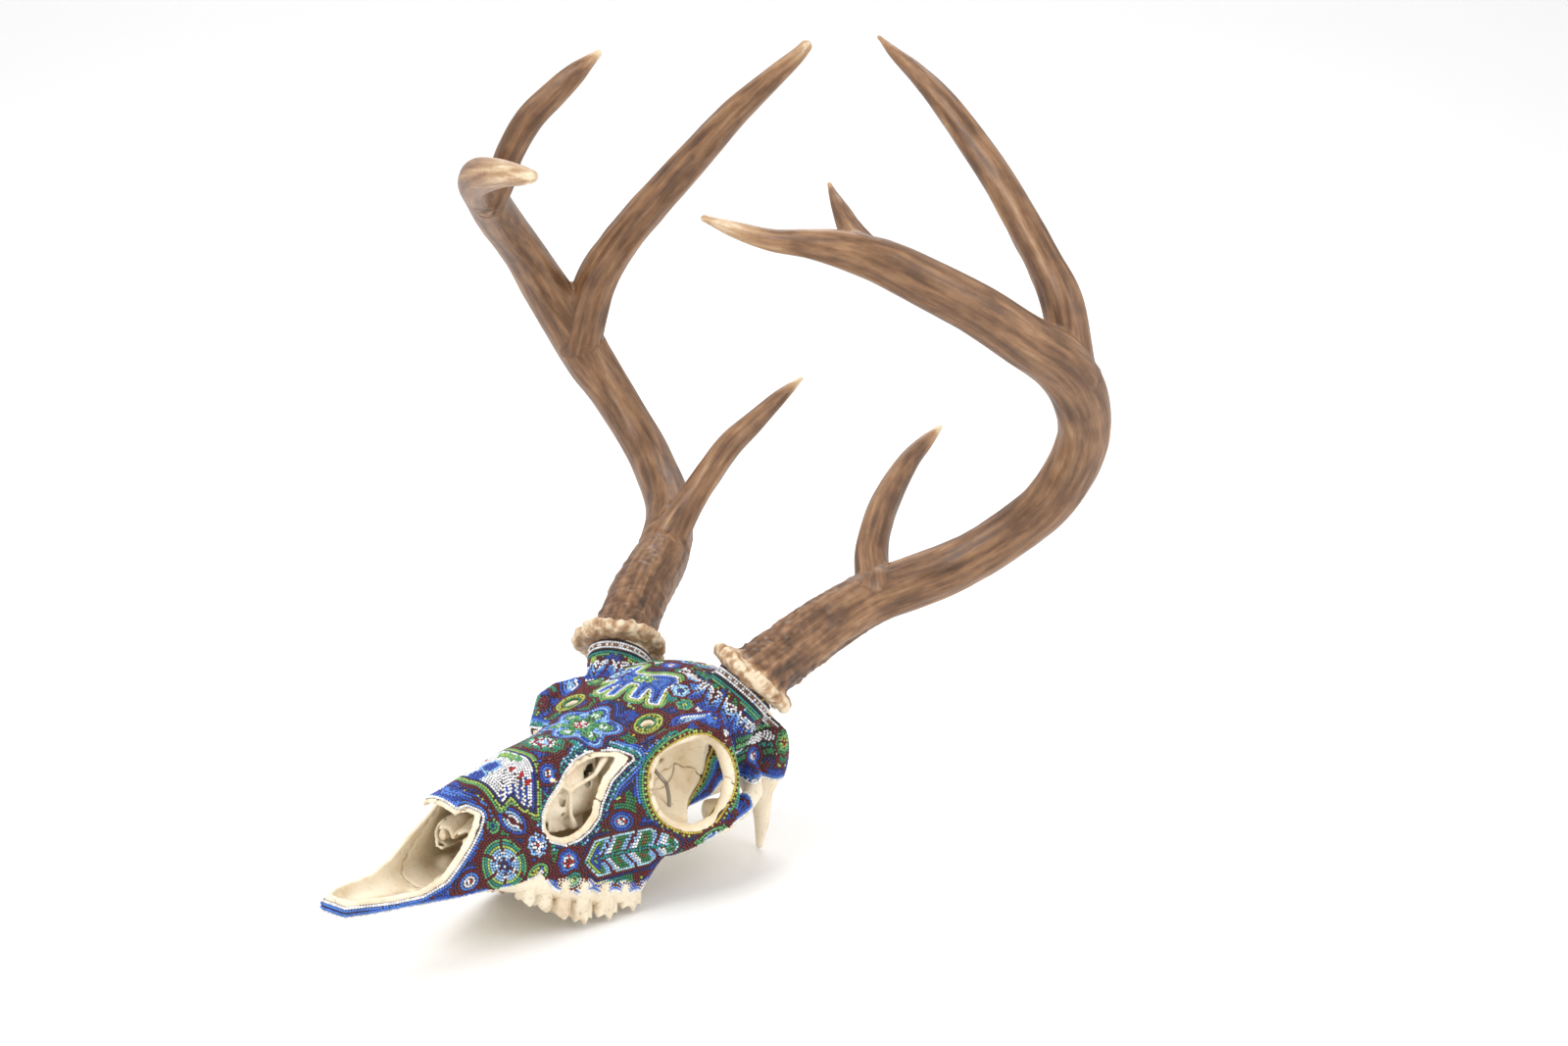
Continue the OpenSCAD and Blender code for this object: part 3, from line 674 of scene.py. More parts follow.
def turbinate(p):
    """Curled thin bone in the nose, torn at its front, with the pierced plates behind the face window."""
    path = [(7, 66, 34), (8, 84, 41), (9.5, 110, 47), (11, 140, 52), (12, 158, 56)]
    bend = 3.0 * (value_noise(p, 9.0, 31) - 0.5)
    outer = rod_field(p, path, [5, 7.2, 7.8, 8, 7]) + bend
    sheet = np.abs(outer) - 0.75
    gap = np.maximum(p[0] - 6 - 0.05 * (p[1] - 66), p[2] - 36 - 0.22 * (p[1] - 66))
    sheet = smooth_max(sheet, -gap, 1)
    inner = rod_field(p, [(a + 1.5, b, c + 0.5) for a, b, c in path], [2.0, 3.0, 3.4, 3.6, 3])
    f = smooth_min(sheet, smooth_max(inner + bend, 72 - p[1] + 8 * (value_noise(p, 4.0, 33) - 0.5), 1.5),
                   1.5)
    f = smooth_max(f, 71 - p[1] + 14 * (value_noise(p, 5.0, 32) - 0.5), 1.2)
    f = smooth_max(f, 4.5 * (0.24 - value_noise(p, 4.4, 34)), 0.6)
    plate = np.abs(p[0] - 17 - 2.2 * np.sin(p[2] * 0.21 + p[1] * 0.1)) - 0.7
    plate = np.maximum(plate, polygon_field(p[1], p[2],
                                            [(112, 40), (112, 58), (128, 72), (152, 77), (156, 60),
                                             (148, 38)]))
    gaps = 0.30 - value_noise(p, 5.5, 11)
    plate = smooth_max(plate, gaps * 6, 0.8)
    strut = rod_field(p, [(19, 118, 66), (21, 130, 60), (22, 146, 66), (22, 152, 74)], [1.5, 1.1, 1.2, 2])
    strut = smooth_min(strut, rod_field(p, [(21, 130, 60), (22, 131, 48), (22, 134, 42)], [1.2, 0.9, 2]),
                       1.5)
    return smooth_min(smooth_min(f, plate, 1.0), strut, 2)


v, q = local_net(turbinate, (-1, 56, 26), (24, 162, 80), 0.9)
v, q = drop_crumbs(v, q, 60)
left_and_right("turbinate_{}", v, q, BONE, "bone")


def vomer(p):
    """Thin upright plate on the floor of the nose."""
    outline_yz = [(62, 16.5), (164, 22.5), (166, 42), (120, 34), (80, 26), (64, 20)]
    return np.maximum(polygon_field(p[1], p[2], outline_yz), np.abs(p[0]) - 0.9)


v, q = local_net(vomer, (-1, 61, 16), (1, 167, 43), 0.7)
finish_piece(new_object("vomer_piece", seat(v), q, [BONE]), "bone", "vomer")
v, q = local_net(lambda p: np.maximum(egg_field(p, (20, 247, 36), (8, 10, 9)), p[2] - 40), (11, 236, 26),
                 (29, 258, 41), 0.8)
left_and_right("bulla_{}", v, q, BONE, "bone")

# ------------------------------------------------------------------- teeth
TEETH = [(102, 23.5, 9.3, 9, 7.0), (112, 25, 10.3, 10, 3.0), (122.5, 27, 10.8, 11, -1.5),
         (135, 28.5, 13.8, 12, -6.0), (149.5, 31, 15.3, 13, -5.0), (165, 33, 15.3, 12, -2.6)]


def tooth_field(p, y0, x0, length, width, tip):
    """One cheek tooth: crescent cusps on the crown, fluted sides, roots going up."""
    lobes = 1 if length < 12 else 2
    u = (p[1] - y0) / length
    x = p[0] - x0
    up = p[2] - tip
    # outline with ribs on the outer wall
    rib = 0.9 * np.cos(2 * math.pi * u * lobes) + 0.35 * np.cos(4 * math.pi * u * lobes)
    taper = 1 - 0.25 * np.clip((up - 8) / 14, 0, 1) - 0.16 * np.clip((3 - up) / 3, 0, 1)
    half_w = (width / 2 + 0.55 * rib) * taper
    half_l = (length / 2 - 0.25) * (1 - 0.12 * np.clip(up / 18, 0, 1))
    q = (np.abs(x) / half_w) ** 3 + (np.abs(u * length) / half_l) ** 5
    side = (q ** 0.25 - 1) * min(width, length) * 0.5
    # crown surface: a ridge outside, a lower ridge inside, a valley between
    outer = 3.6 * np.abs(np.sin(math.pi * (u * lobes + (0.5 if lobes == 1 else 0)))) ** 0.8
    if lobes == 1:
        outer = 3.2 * np.abs(u * 2) ** 1.2
    inner = outer * 0.7 + 1.6
    t = np.clip((x + width * 0.42) / (width * 0.84), 0, 1)
    surface = (inner + (outer - inner) * t
               + 2.6 * np.sin(math.pi * t) ** 2 * (0.7 + 0.3 * np.cos(2 * math.pi * u * lobes)))
    crown = (surface - up) * 0.75
    top = up - 16
    return smooth_max(smooth_max(side, crown, 0.7), top, 1.5)


for number, (y0, x0, length, width, tip) in enumerate(TEETH, 1):
    v, q = local_net(lambda p: tooth_field(p, y0, x0, length, width, tip),
                     (x0 - width * 0.65, y0 - length * 0.55, tip - 0.5),
                     (x0 + width * 0.65, y0 + length * 0.55, tip + 17), 0.55)
    left_and_right("tooth_{}_%d" % number, v, q, TOOTH, "tooth_enamel")

# ----------------------------------------------------------------- antlers
# Each branch: its points from the root out, and the radius at each point. The right antler is
# written as if it were on the left.
LEFT_ANTLER = [
    ([(46, 232, 112), (53, 251, 126), (64, 272, 143), (76, 288, 156), (90, 301, 165), (109, 316, 178),
      (133, 327, 199),
      (154, 329, 221), (173, 318, 250), (180, 300, 273), (180, 277, 290), (173, 251, 301), (164, 229, 312),
      (151, 206, 322), (135, 187, 331), (120, 174, 335), (107, 164, 336), (93, 156, 336), (76, 149, 339),
      (58, 146, 343)],
     [16, 15.5, 15, 14.3, 13.8, 13.2, 12.8, 13, 13, 14, 14, 13, 12.5, 11.8, 10.8, 9, 6.8, 5.4, 4, 1.8]),
    ([(76, 289, 160), (64, 299, 176), (55, 315, 193), (50, 330, 207), (48, 346, 222), (49, 358, 232),
      (51, 368, 241)],
     [10, 8.8, 8, 7.2, 5.8, 4.2, 1.6]),
    ([(181, 290, 282), (173, 287, 316), (159, 288, 336), (143, 290, 354), (126, 292, 372), (105, 295, 391),
      (82, 297, 411), (62, 299, 425), (45, 300, 435), (33, 301, 443)],
     [12, 10.5, 9, 8.7, 8.3, 7.8, 6.8, 5, 3.2, 1.3]),
    ([(130, 183, 333), (118, 183, 344), (109, 185, 353), (102, 188, 359), (96, 191, 365)],
     [8, 6, 4.2, 2.5, 1.2])]
RIGHT_ANTLER = [
    ([(46, 232, 112), (60, 262, 137), (72, 291, 156), (90, 313, 176), (114, 327, 194), (135, 333, 211),
      (157, 332, 233), (171, 324, 252), (179, 310, 274), (181, 289, 295), (174, 262, 314), (162, 232, 329),
      (143, 200, 342), (131, 183, 347), (117, 170, 351), (98, 159, 353), (80, 151, 354), (64, 147, 354),
      (55, 147, 354)],
     [16, 16, 14.7, 13, 12, 12, 12.5, 14, 14.5, 13, 11.6, 11.8, 11, 10.3, 9.7, 8.5, 6.9, 5.2, 3.2]),
    ([(72, 292, 160), (67, 302, 182), (64, 313, 199), (61, 326, 216), (57, 341, 230), (52, 355, 244),
      (46, 366, 256)],
     [11, 8.5, 7.8, 7.2, 6, 4.4, 1.4]),
    ([(174, 318, 262), (163, 315, 296), (148, 316, 321), (127, 319, 346), (102, 321, 373), (76, 320, 398),
      (50, 319, 419), (34, 318, 431), (26, 317, 438)],
     [13, 12, 10.8, 10, 9.3, 8, 6, 4.4, 3.4]),
    ([(137, 200, 338), (128, 198, 352), (121, 195, 365), (108, 194, 383), (96, 198, 397), (86, 203, 409),
      (79, 212, 421)],
     [8, 7.5, 7.3, 7.5, 7, 5.6, 2])]
BURR = [(44.6, 230.4, 109.2), (45.6, 231.5, 111.4), (46.9, 233, 114.2), (48.2, 234.6, 117)]
BURR_R = [17, 24, 23, 16]


def spline(points, radii, spacing):
    """Catmull-Rom line through the points, with its radii, at even steps."""
    p = np.asarray(points, float)
    r = np.asarray(radii, float)
    p = np.vstack([2 * p[0] - p[1], p, 2 * p[-1] - p[-2]])
    r = np.concatenate([[2 * r[0] - r[1]], r, [r[-1]]])
    line = []
    for i in range(1, len(p) - 2):
        for t in np.linspace(0, 1, 12, endpoint=False):
            k = [0.5 * (-t + 2 * t * t - t ** 3), 0.5 * (2 - 5 * t * t + 3 * t ** 3),
                 0.5 * (t + 4 * t * t - 3 * t ** 3), 0.5 * (-t * t + t ** 3)]
            line.append(np.append(sum(k[m] * p[i - 1 + m] for m in range(4)),
                                  sum(k[m] * r[i - 1 + m] for m in range(4))))
    line.append(np.append(p[-2], r[-2]))
    line = np.array(line)
    s = np.concatenate([[0], np.cumsum(np.linalg.norm(np.diff(line[:, :3], axis=0), axis=1))])
    at = np.linspace(0, s[-1], max(4, int(s[-1] / spacing)))
    out = np.stack([np.interp(at, s, line[:, k]) for k in range(4)], 1)
    return out[:, :3], out[:, 3], at


def frames(line):
    """Directions along and across a line, carried on without twist."""
    tangent = np.gradient(line, axis=0)
    tangent /= np.linalg.norm(tangent, axis=1)[:, None]
    side = np.cross(tangent[0], [0.3, 0.2, 0.9])
    side /= np.linalg.norm(side)
    across = []
    for t in tangent:
        side = side - t * (side @ t)
        side /= np.linalg.norm(side)
        across.append(side.copy())
    across = np.array(across)
    return tangent, across, np.cross(tangent, across)


def tube_mesh(line, radii, sides):
    """A closed round tube; its last ring runs out to a rounded tip."""
    tangent, a, b = frames(line)
    turn = np.linspace(0, 2 * math.pi, sides, endpoint=False)
    ring = np.cos(turn)[None, :, None] * a[:, None] + np.sin(turn)[None, :, None] * b[:, None]
    verts = (line[:, None] + ring * radii[:, None, None]).reshape(-1, 3)
    n = len(line)
    i = np.arange(n - 1)[:, None] * sides
    j = np.arange(sides)[None]
    k = (j + 1) % sides
    quads = np.stack([i + j, i + k, i + k + sides, i + j + sides], -1).reshape(-1, 4)
    ends = [line[0], line[-1] + tangent[-1] * radii[-1] * 0.8]
    verts = np.vstack([verts, ends])
    j = np.arange(sides)
    k = (j + 1) % sides
    low = np.stack([np.full(sides, n * sides), k, j], 1)
    last = (n - 1) * sides
    high = np.stack([np.full(sides, n * sides + 1), last + j, last + k], 1)
    tris = np.vstack([quads[:, [0, 1, 2]], quads[:, [0, 2, 3]], low, high])
    return verts, tris


def ball_mesh(centre, radius, rings=7, sides=10):
    a = np.linspace(0, math.pi, rings + 2)[1:-1]
    line = np.asarray(centre)[None] + np.stack([np.zeros(rings), np.zeros(rings), -np.cos(a) * radius], 1)
    return tube_mesh(line, np.sin(a) * radius, sides)


def nearest(points, samples, chunk=6000):
    """Index of the nearest sample to each point."""
    out = np.empty(len(points), int)
    for i in range(0, len(points), chunk):
        d = ((points[i:i + chunk, None, :] - samples[None]) ** 2).sum(-1)
        out[i:i + chunk] = d.argmin(1)
    return out


def antler(side, sign, branches):
    """Branches, burr knobs and pearls made into one skin, then grooved and toned along its branches."""
    draws = np.random.default_rng(11 if sign > 0 else 12)
    parts = []
    lines = []
    for path, radii in branches + [(BURR, BURR_R)]:
        line, r, s = spline(path, radii, 1.5)
        lines.append((line, r, s, len(lines)))
        parts.append(tube_mesh(line, r, 40))
    axis = np.array([0.36, 0.5, 0.78])
    axis /= np.linalg.norm(axis)
    one = np.cross(axis, [0, 0, 1])
    one /= np.linalg.norm(one)
    two = np.cross(axis, one)
    centre = np.array([46.1, 232.1, 112.4])
    # knobs of the burr, in two uneven rings, and pearls on the foot of the beam
    for k in range(26):
        turn = 2 * math.pi * (k + draws.uniform(-0.25, 0.25)) / 26
        out = one * math.cos(turn) + two * math.sin(turn)
        size = draws.uniform(2.6, 4.1)
        parts.append(ball_mesh(centre + out * (24.2 - size * 0.62) + axis * draws.uniform(-1.6, 1.6), size))
    for k in range(110):
        turn = draws.uniform(0, 2 * math.pi)
        up = 4 + 62 * draws.uniform() ** 1.6
        i = np.searchsorted(lines[0][2], up)
        t, a, b = frames(lines[0][0])
        out = a[i] * math.cos(turn) + b[i] * math.sin(turn)
        size = draws.uniform(0.9, 2.0) * (1.15 - up / 110)
        parts.append(ball_mesh(lines[0][0][i] + out * (lines[0][1][i] - size * 0.25), size, 5, 8))
    verts = []
    tris = []
    count = 0
    for v, t in parts:
        verts.append(v)
        tris.append(t + count)
        count += len(v)
    verts = np.vstack(verts)
    tris = np.vstack(tris)
    rough_shape = new_object("rough_" + side, verts / 1000, tris, [])
    mod = rough_shape.modifiers.new("remesh", "REMESH")
    mod.mode = "VOXEL"
    mod.voxel_size = 0.00105
    mod = rough_shape.modifiers.new("soften", "SMOOTH")
    mod.iterations = 3
    evaluated = rough_shape.evaluated_get(bpy.context.evaluated_depsgraph_get())
    mesh = evaluated.to_mesh()
    co = np.empty(len(mesh.vertices) * 3, np.float32)
    mesh.vertices.foreach_get("co", co)
    co = co.reshape(-1, 3).astype(float) * 1000
    normal = np.empty(len(mesh.vertices) * 3, np.float32)
    mesh.vertices.foreach_get("normal", normal)
    normal = normal.reshape(-1, 3)
    mesh.calc_loop_triangles()
    faces = np.empty(len(mesh.polygons) * 4, np.int32)
    if len(mesh.loops) == len(faces):
        mesh.loops.foreach_get("vertex_index", faces)
        faces = faces.reshape(-1, 4)
    else:
        faces = np.array([t.vertices for t in mesh.loop_triangles], np.int32)
    evaluated.to_mesh_clear()
    bpy.data.objects.remove(rough_shape)
    # coordinates along and across the nearest branch
    centre_line = np.vstack([l[0] for l in lines[:4]])
    one = []
    two = []
    for l in lines[:4]:
        t, a, b = frames(l[0])
        one.append(a)
        two.append(b)
    one = np.vstack(one)
    two = np.vstack(two)
    along = np.concatenate([l[2] + 400 * l[3] for l in lines[:4]])
    share = np.concatenate([l[2] / l[2][-1] for l in lines[:4]])
    branch = np.concatenate([np.full(len(l[2]), l[3]) for l in lines[:4]])
    k = nearest(co, centre_line)
    d = co - centre_line[k]
    grain = np.stack([(d * one[k]).sum(1), (d * two[k]).sum(1), along[k]], 1)
    stretched = grain * [1, 1, 0.13]
    groove = value_noise(stretched, 3.4, 5) - 0.5 + 0.5 * (value_noise(stretched, 1.6, 6) - 0.5)
    pearl = value_noise(co, 2.6, 8) - 0.5
    foot = np.where(branch[k] == 0, np.clip(1 - (grain[:, 2] - 6) / 95, 0, 1), 0)
    thin = np.clip(1.25 - share[k], 0.12, 1)
    lift = 1.15 * groove * thin + 1.3 * pearl * foot
    co = co + normal * lift[:, None]
    # tone: furrows dark, pearls and ridges pale, burr cream, tips polished pale
    from_burr = np.abs((co - centre) @ axis)
    burr = np.clip(1 - (from_burr - 3.5) / 3.5, 0, 1) * (np.linalg.norm(co - centre, axis=1) < 32)
    tip = np.clip((share[k] - 0.86) / 0.14, 0, 1) * np.clip(grain[:, 2] > 0, 0, 1)
    tone = 0.02 + 0.16 * groove + 0.30 * pearl * foot + 0.36 * tip + 0.40 * burr - 0.05 * foot
    co = co * [sign, 1, 1]
    obj = new_object(f"antler_{side}_piece", seat(co), faces if sign > 0 else faces[:, ::-1], [ANTLER])
    layer = obj.data.attributes.new("tone", "FLOAT", "POINT")
    layer.data.foreach_set("value", tone.astype(np.float32))
    layer = obj.data.attributes.new("grain", "FLOAT_VECTOR", "POINT")
    layer.data.foreach_set("vector", (grain * [0.3, 0.3, 0.03]).astype(np.float32).ravel())
    finish_piece(obj, "antler", "antler_" + side)


antler("left", 1, LEFT_ANTLER)
antler("right", -1, RIGHT_ANTLER)
print("antlers")

WIRE = [(22, 182, 70), (27, 182, 67.5), (33, 183.8, 62.4), (33.2, 187.9, 58.4),
        (33.2, 190.9, 50.5), (33.4, 191, 43), (34, 189, 38)]
line, r, s = spline(WIRE, [1.0] * 7, 0.8)
v, t = tube_mesh(line, r, 14)
finish_piece(new_object("hanging_wire_piece", seat(v), t, [STEEL]), "wire_steel", "hanging_wire")


# ------------------------------------------------------------------- beads
# PITCH is the step between rows. Beads in a row may sit as close as ROW_ROOM, beads put into the gaps
# afterwards as close as GAP_ROOM, and a gap is a place farther than GAP_REACH from every bead.
PITCH = 1.4
ROW_ROOM = 1.16
GAP_ROOM = 1.14
GAP_REACH = 1.12
NO_EDGE = 99
LOWER = [(-20, -40), (-20, 10), (2, 12), (20, 13.5), (60, 15), (86, 18.5), (97, 21.5), (101, 22), (104, 25),
         (107, 20),
         (110, 17), (114, 14), (124, 10.4), (136, 7.6), (148, 5), (158, 5), (168, 8), (176, 15), (190, 32),
         (206, 40),
         (226, 48), (228, 55.5), (237, 57.5), (248, 58.3), (264, 53.6), (276, 53.6), (279, 66), (300, 66),
         (300, -40)]
BURR_FOOT = (45.2, 231.5, 110.5)
BURR_AXIS = (0.314, 0.545, 0.778)


def mouth_roof(x, y, z):
    """Distance from the space between the tooth rows."""
    a = np.maximum(np.maximum(x - 25, np.abs(y - 142) - 42), z - 34)
    b = np.maximum(np.maximum(x - 28, np.abs(y - 156) - 28), z - 22)
    c = np.maximum(np.maximum(x - 33, np.abs(y - 160) - 24), z - 14)
    return np.minimum(np.minimum(a, b), c)


def teeth_edge(y, z):
    """Height over the wavy line along the tooth roots, where the beadwork stops."""
    line = 12.5 - 0.09 * (y - 112) + 1.1 * np.cos((y - 110) * 0.47)
    return np.where((y > 98) & (y < 178), z - line, NO_EDGE)


def rims(p):
    """Distance from each edge of the beadwork, positive where beads may lie. p is in the left half."""
    x, y, z = p
    far = np.full(np.shape(x), float(NO_EDGE))
    burr = -3 - sum((c - o) * n for c, o, n in zip(p, BURR_FOOT, BURR_AXIS))
    neck = np.where(y > 256, np.sqrt(x * x + (z - NECK_Z) ** 2) - NECK_RADIUS - 5, NO_EDGE)
    return {
        "nose": polygon_field(y, z, NOSE_SIDE) - 2.4,
        "window": np.where(x > 12, polygon_field(y, z, WINDOW) - 2.6, far),
        "eye": np.where(x > 12, eye_at(p) - 3.0, far),
        "lower": np.minimum(np.minimum(polygon_field(y, z, LOWER), mouth_roof(x, y, z)), teeth_edge(y, z)),
        "burr": burr,
        "brow_hole": np.where(z > 78, np.sqrt((x - BROW_HOLE[0]) ** 2 + (y - BROW_HOLE[1]) ** 2) - 3.4,
                              far),
        "neck": np.minimum(neck, egg_field(p, KNUCKLE, (12, 12, 13))),
    }


ARC_Y = np.arange(0, 286, 2.0)
ARC_RING = [outline(y)[:25] for y in ARC_Y]


def arc_from_top(p):
    """Length along the skin from the skull's middle line, for points of the left half."""
    out = np.zeros(len(p))
    key = np.clip(np.round(p[:, 1] / 2).astype(int), 0, len(ARC_Y) - 1)
    for k in np.unique(key):
        at = np.flatnonzero(key == k)
        ring = ARC_RING[k]
        length = np.concatenate([[0], np.cumsum(np.linalg.norm(np.diff(ring, axis=0), axis=1))])
        q = p[at][:, [0, 2]]
        best = np.full(len(at), 1e9)
        for i in range(len(ring) - 1):
            d = ring[i + 1] - ring[i]
            t = np.clip(((q - ring[i]) @ d) / max(d @ d, 1e-9), 0, 1)
            r = np.linalg.norm(q - ring[i] - t[:, None] * d, axis=1)
            near = r < best
            best[near] = r[near]
            out[at[near]] = length[i] + t[near] * math.sqrt(d @ d)
    return out


COLORS = {
    "wax": (0.055, 0.022, 0.012), "white": (0.78, 0.78, 0.80), "navy": (0.012, 0.022, 0.13),
    "blue": (0.02, 0.07, 0.40),
    "mid": (0.07, 0.20, 0.62), "sky": (0.28, 0.50, 0.80), "pale": (0.42, 0.66, 0.72),
    "teal": (0.02, 0.24, 0.22),
    "green": (0.03, 0.20, 0.07), "leaf": (0.12, 0.36, 0.14), "lime": (0.36, 0.50, 0.10),
    "gold": (0.52, 0.40, 0.06),
    "maroon": (0.12, 0.008, 0.014), "red": (0.42, 0.02, 0.02), "brown": (0.22, 0.10, 0.04),
    "black": (0.012, 0.010, 0.014),
}
NAMES = list(COLORS)
BEAD_MATERIALS = []
for name in NAMES:
    for shade, scale in (("a", 0.85), ("b", 1.12)):
        rough = 0.7 if name == "wax" else 0.24
        BEAD_MATERIALS.append(material(f"bead_{name}_{shade}", tuple(c * scale for c in COLORS[name]),
                                       rough))
CODE = {name: i for i, name in enumerate(NAMES)}


def ripple(turn, count):
    """A wave from 0 to 1 with count crests round a circle."""
    return 0.5 + 0.5 * np.cos(count * turn)


class Motif:
    """A shape in one of two charts: 'top' is (y, arc from the middle line), 'side' is (y, z)."""

    def __init__(self, chart, centre, size, turn=0.0, petals=0, wave=0.0, outline_points=None, both=True):
        self.chart = chart
        self.centre = centre
        self.size = size
        self.turn = math.radians(turn)
        self.petals = petals
        self.wave = wave
        self.poly = outline_points
        self.both = both

    def local(self, y, s, z, side):
        v = z if self.chart == "side" else (s if self.both else s * side)
        a = y - self.centre[0]
        b = v - self.centre[1]
        c = math.cos(self.turn)
        n = math.sin(self.turn)
        return a * c + b * n, -a * n + b * c

    def distance(self, y, s, z, side):
        a, b = self.local(y, s, z, side)
        if self.poly is not None:
            out = polygon_field(a, b, self.poly)
            reach = max(max(abs(u), abs(v)) for u, v in self.poly)
        else:
            rx, ry = self.size
            k = np.sqrt((a / rx) ** 2 + (b / ry) ** 2) + 1e-9
            edge = 1 + self.wave * np.cos(self.petals * np.arctan2(b / ry, a / rx))
            out = (k - edge) * min(rx, ry)
            reach = max(rx, ry)
        far = (np.abs(a) > reach + 9) | (np.abs(b) > reach + 9)
        wrong = (s < 24) if self.chart == "side" else (s > 60)
        return np.where(far | wrong, NO_EDGE, out)


def deer_outline():
    """A small stag, head towards -a and feet towards +b."""
    up = [(-20, 4), (-19, 8), (-14, 10), (-16, 18), (-13, 18), (-11.5, 12.5), (-10, 19), (-7, 19), (-8, 11),
          (-4, 8), (4, 7),
          (11, 10), (17, 11), (20, 7), (17, 0), (20, -12), (16, -13), (12, -4), (9, -3), (9, -13), (5, -13),
          (4, -2), (-3, -1),
          (-5, -13), (-9, -13), (-8, -1), (-15, -9), (-18, -7), (-12, 2), (-13, 5)]
    return [(a, -b) for a, b in up]


MOTIFS = {
    "wheel": Motif("side", (83.5, 30), (12, 12)),
    "coin_face": Motif("top", (117, 19.5), (4.9, 4.9)),
    "eye_leaf": Motif("side", (91.5, 49.5), (8.4, 5.6), -35),
    "teal_dot": Motif("side", (80.5, 48), (3.6, 3.6)),
    "ice_star": Motif("side", (103.5, 37.5), (5.4, 5.4), 0, 8, 0.13),
    "amber_leaf": Motif("side", (102, 24.5), (7, 4.6), 20),
    "coin_low": Motif("side", (120.5, 28), (6.3, 6.3), 0, 8, 0.07),
    "sprout": Motif("side", (124, 19), (4.9, 3.9)),
    "arrow": Motif("side", (153, 30.5), None, 9,
                   outline_points=[(-24, 0), (-16, 9.5), (14, 9.5), (23, 4), (25, 0), (23, -4),
                                                                   (14, -9.5), (-16, -9.5)]),
    "coin_high": Motif("side", (151, 45.5), (6.3, 4.9)),
    "bird": Motif("top", (97, 14), None, outline_points=[(-17, -18), (15, -18), (16, -6), (13, 6), (9, 21),
                                                         (1, 14),
                                                            (-3, 6), (-10, 8), (-13, -2)]),
    "fan": Motif("top", (130, 0), (9.8, 12), 0, 10, 0.06),
    "flower": Motif("top", (157, 0), (16, 20), 0, 6, 0.17),
    "deer": Motif("top", (198, -2), None, 78, outline_points=deer_outline(), both=False),
    "brow_ring": Motif("top", (177, 27), (8, 7)),
    "flower_a": Motif("top", (206, 21.5), (4.9, 4.9), 0, 6, 0.1),
    "flower_b": Motif("top", (199, 31), (4.6, 4.6), 0, 6, 0.1),
    "wing": Motif("top", (193, 42.5), (12.5, 4.9), 34),
    "temple_coin": Motif("side", (250, 67.5), (5.2, 5.2)),
    "temple_coin_b": Motif("side", (240, 84), (4.9, 4.9)),
    "nape_flower": Motif("side", (269, 74), (6.3, 6.3), 0, 8, 0.1),
    "crown_flower": Motif("top", (246, 0), (14, 14), 0, 8, 0.12),
    "coin_fore": Motif("top", (143, 26), (4.2, 4.2)),
    "coin_back": Motif("top", (222, 0), (4.9, 4.9)),
    "arch_leaf": Motif("side", (196, 37.5), (10, 2.9), 22),
    "nose_coin": Motif("side", (64, 24), (5.6, 4.2), 20),
}
MOTIF_NAMES = list(MOTIFS)


def by_ring(level, names):
    """Colour of each bead from its row number, counted inwards."""
    codes = np.array([CODE[n] for n in names])
    return codes[np.clip(level, 0, len(names) - 1)]


def where(mask, name, out):
    """out with the named colour wherever mask is true."""
    return np.where(mask, CODE[name], out)


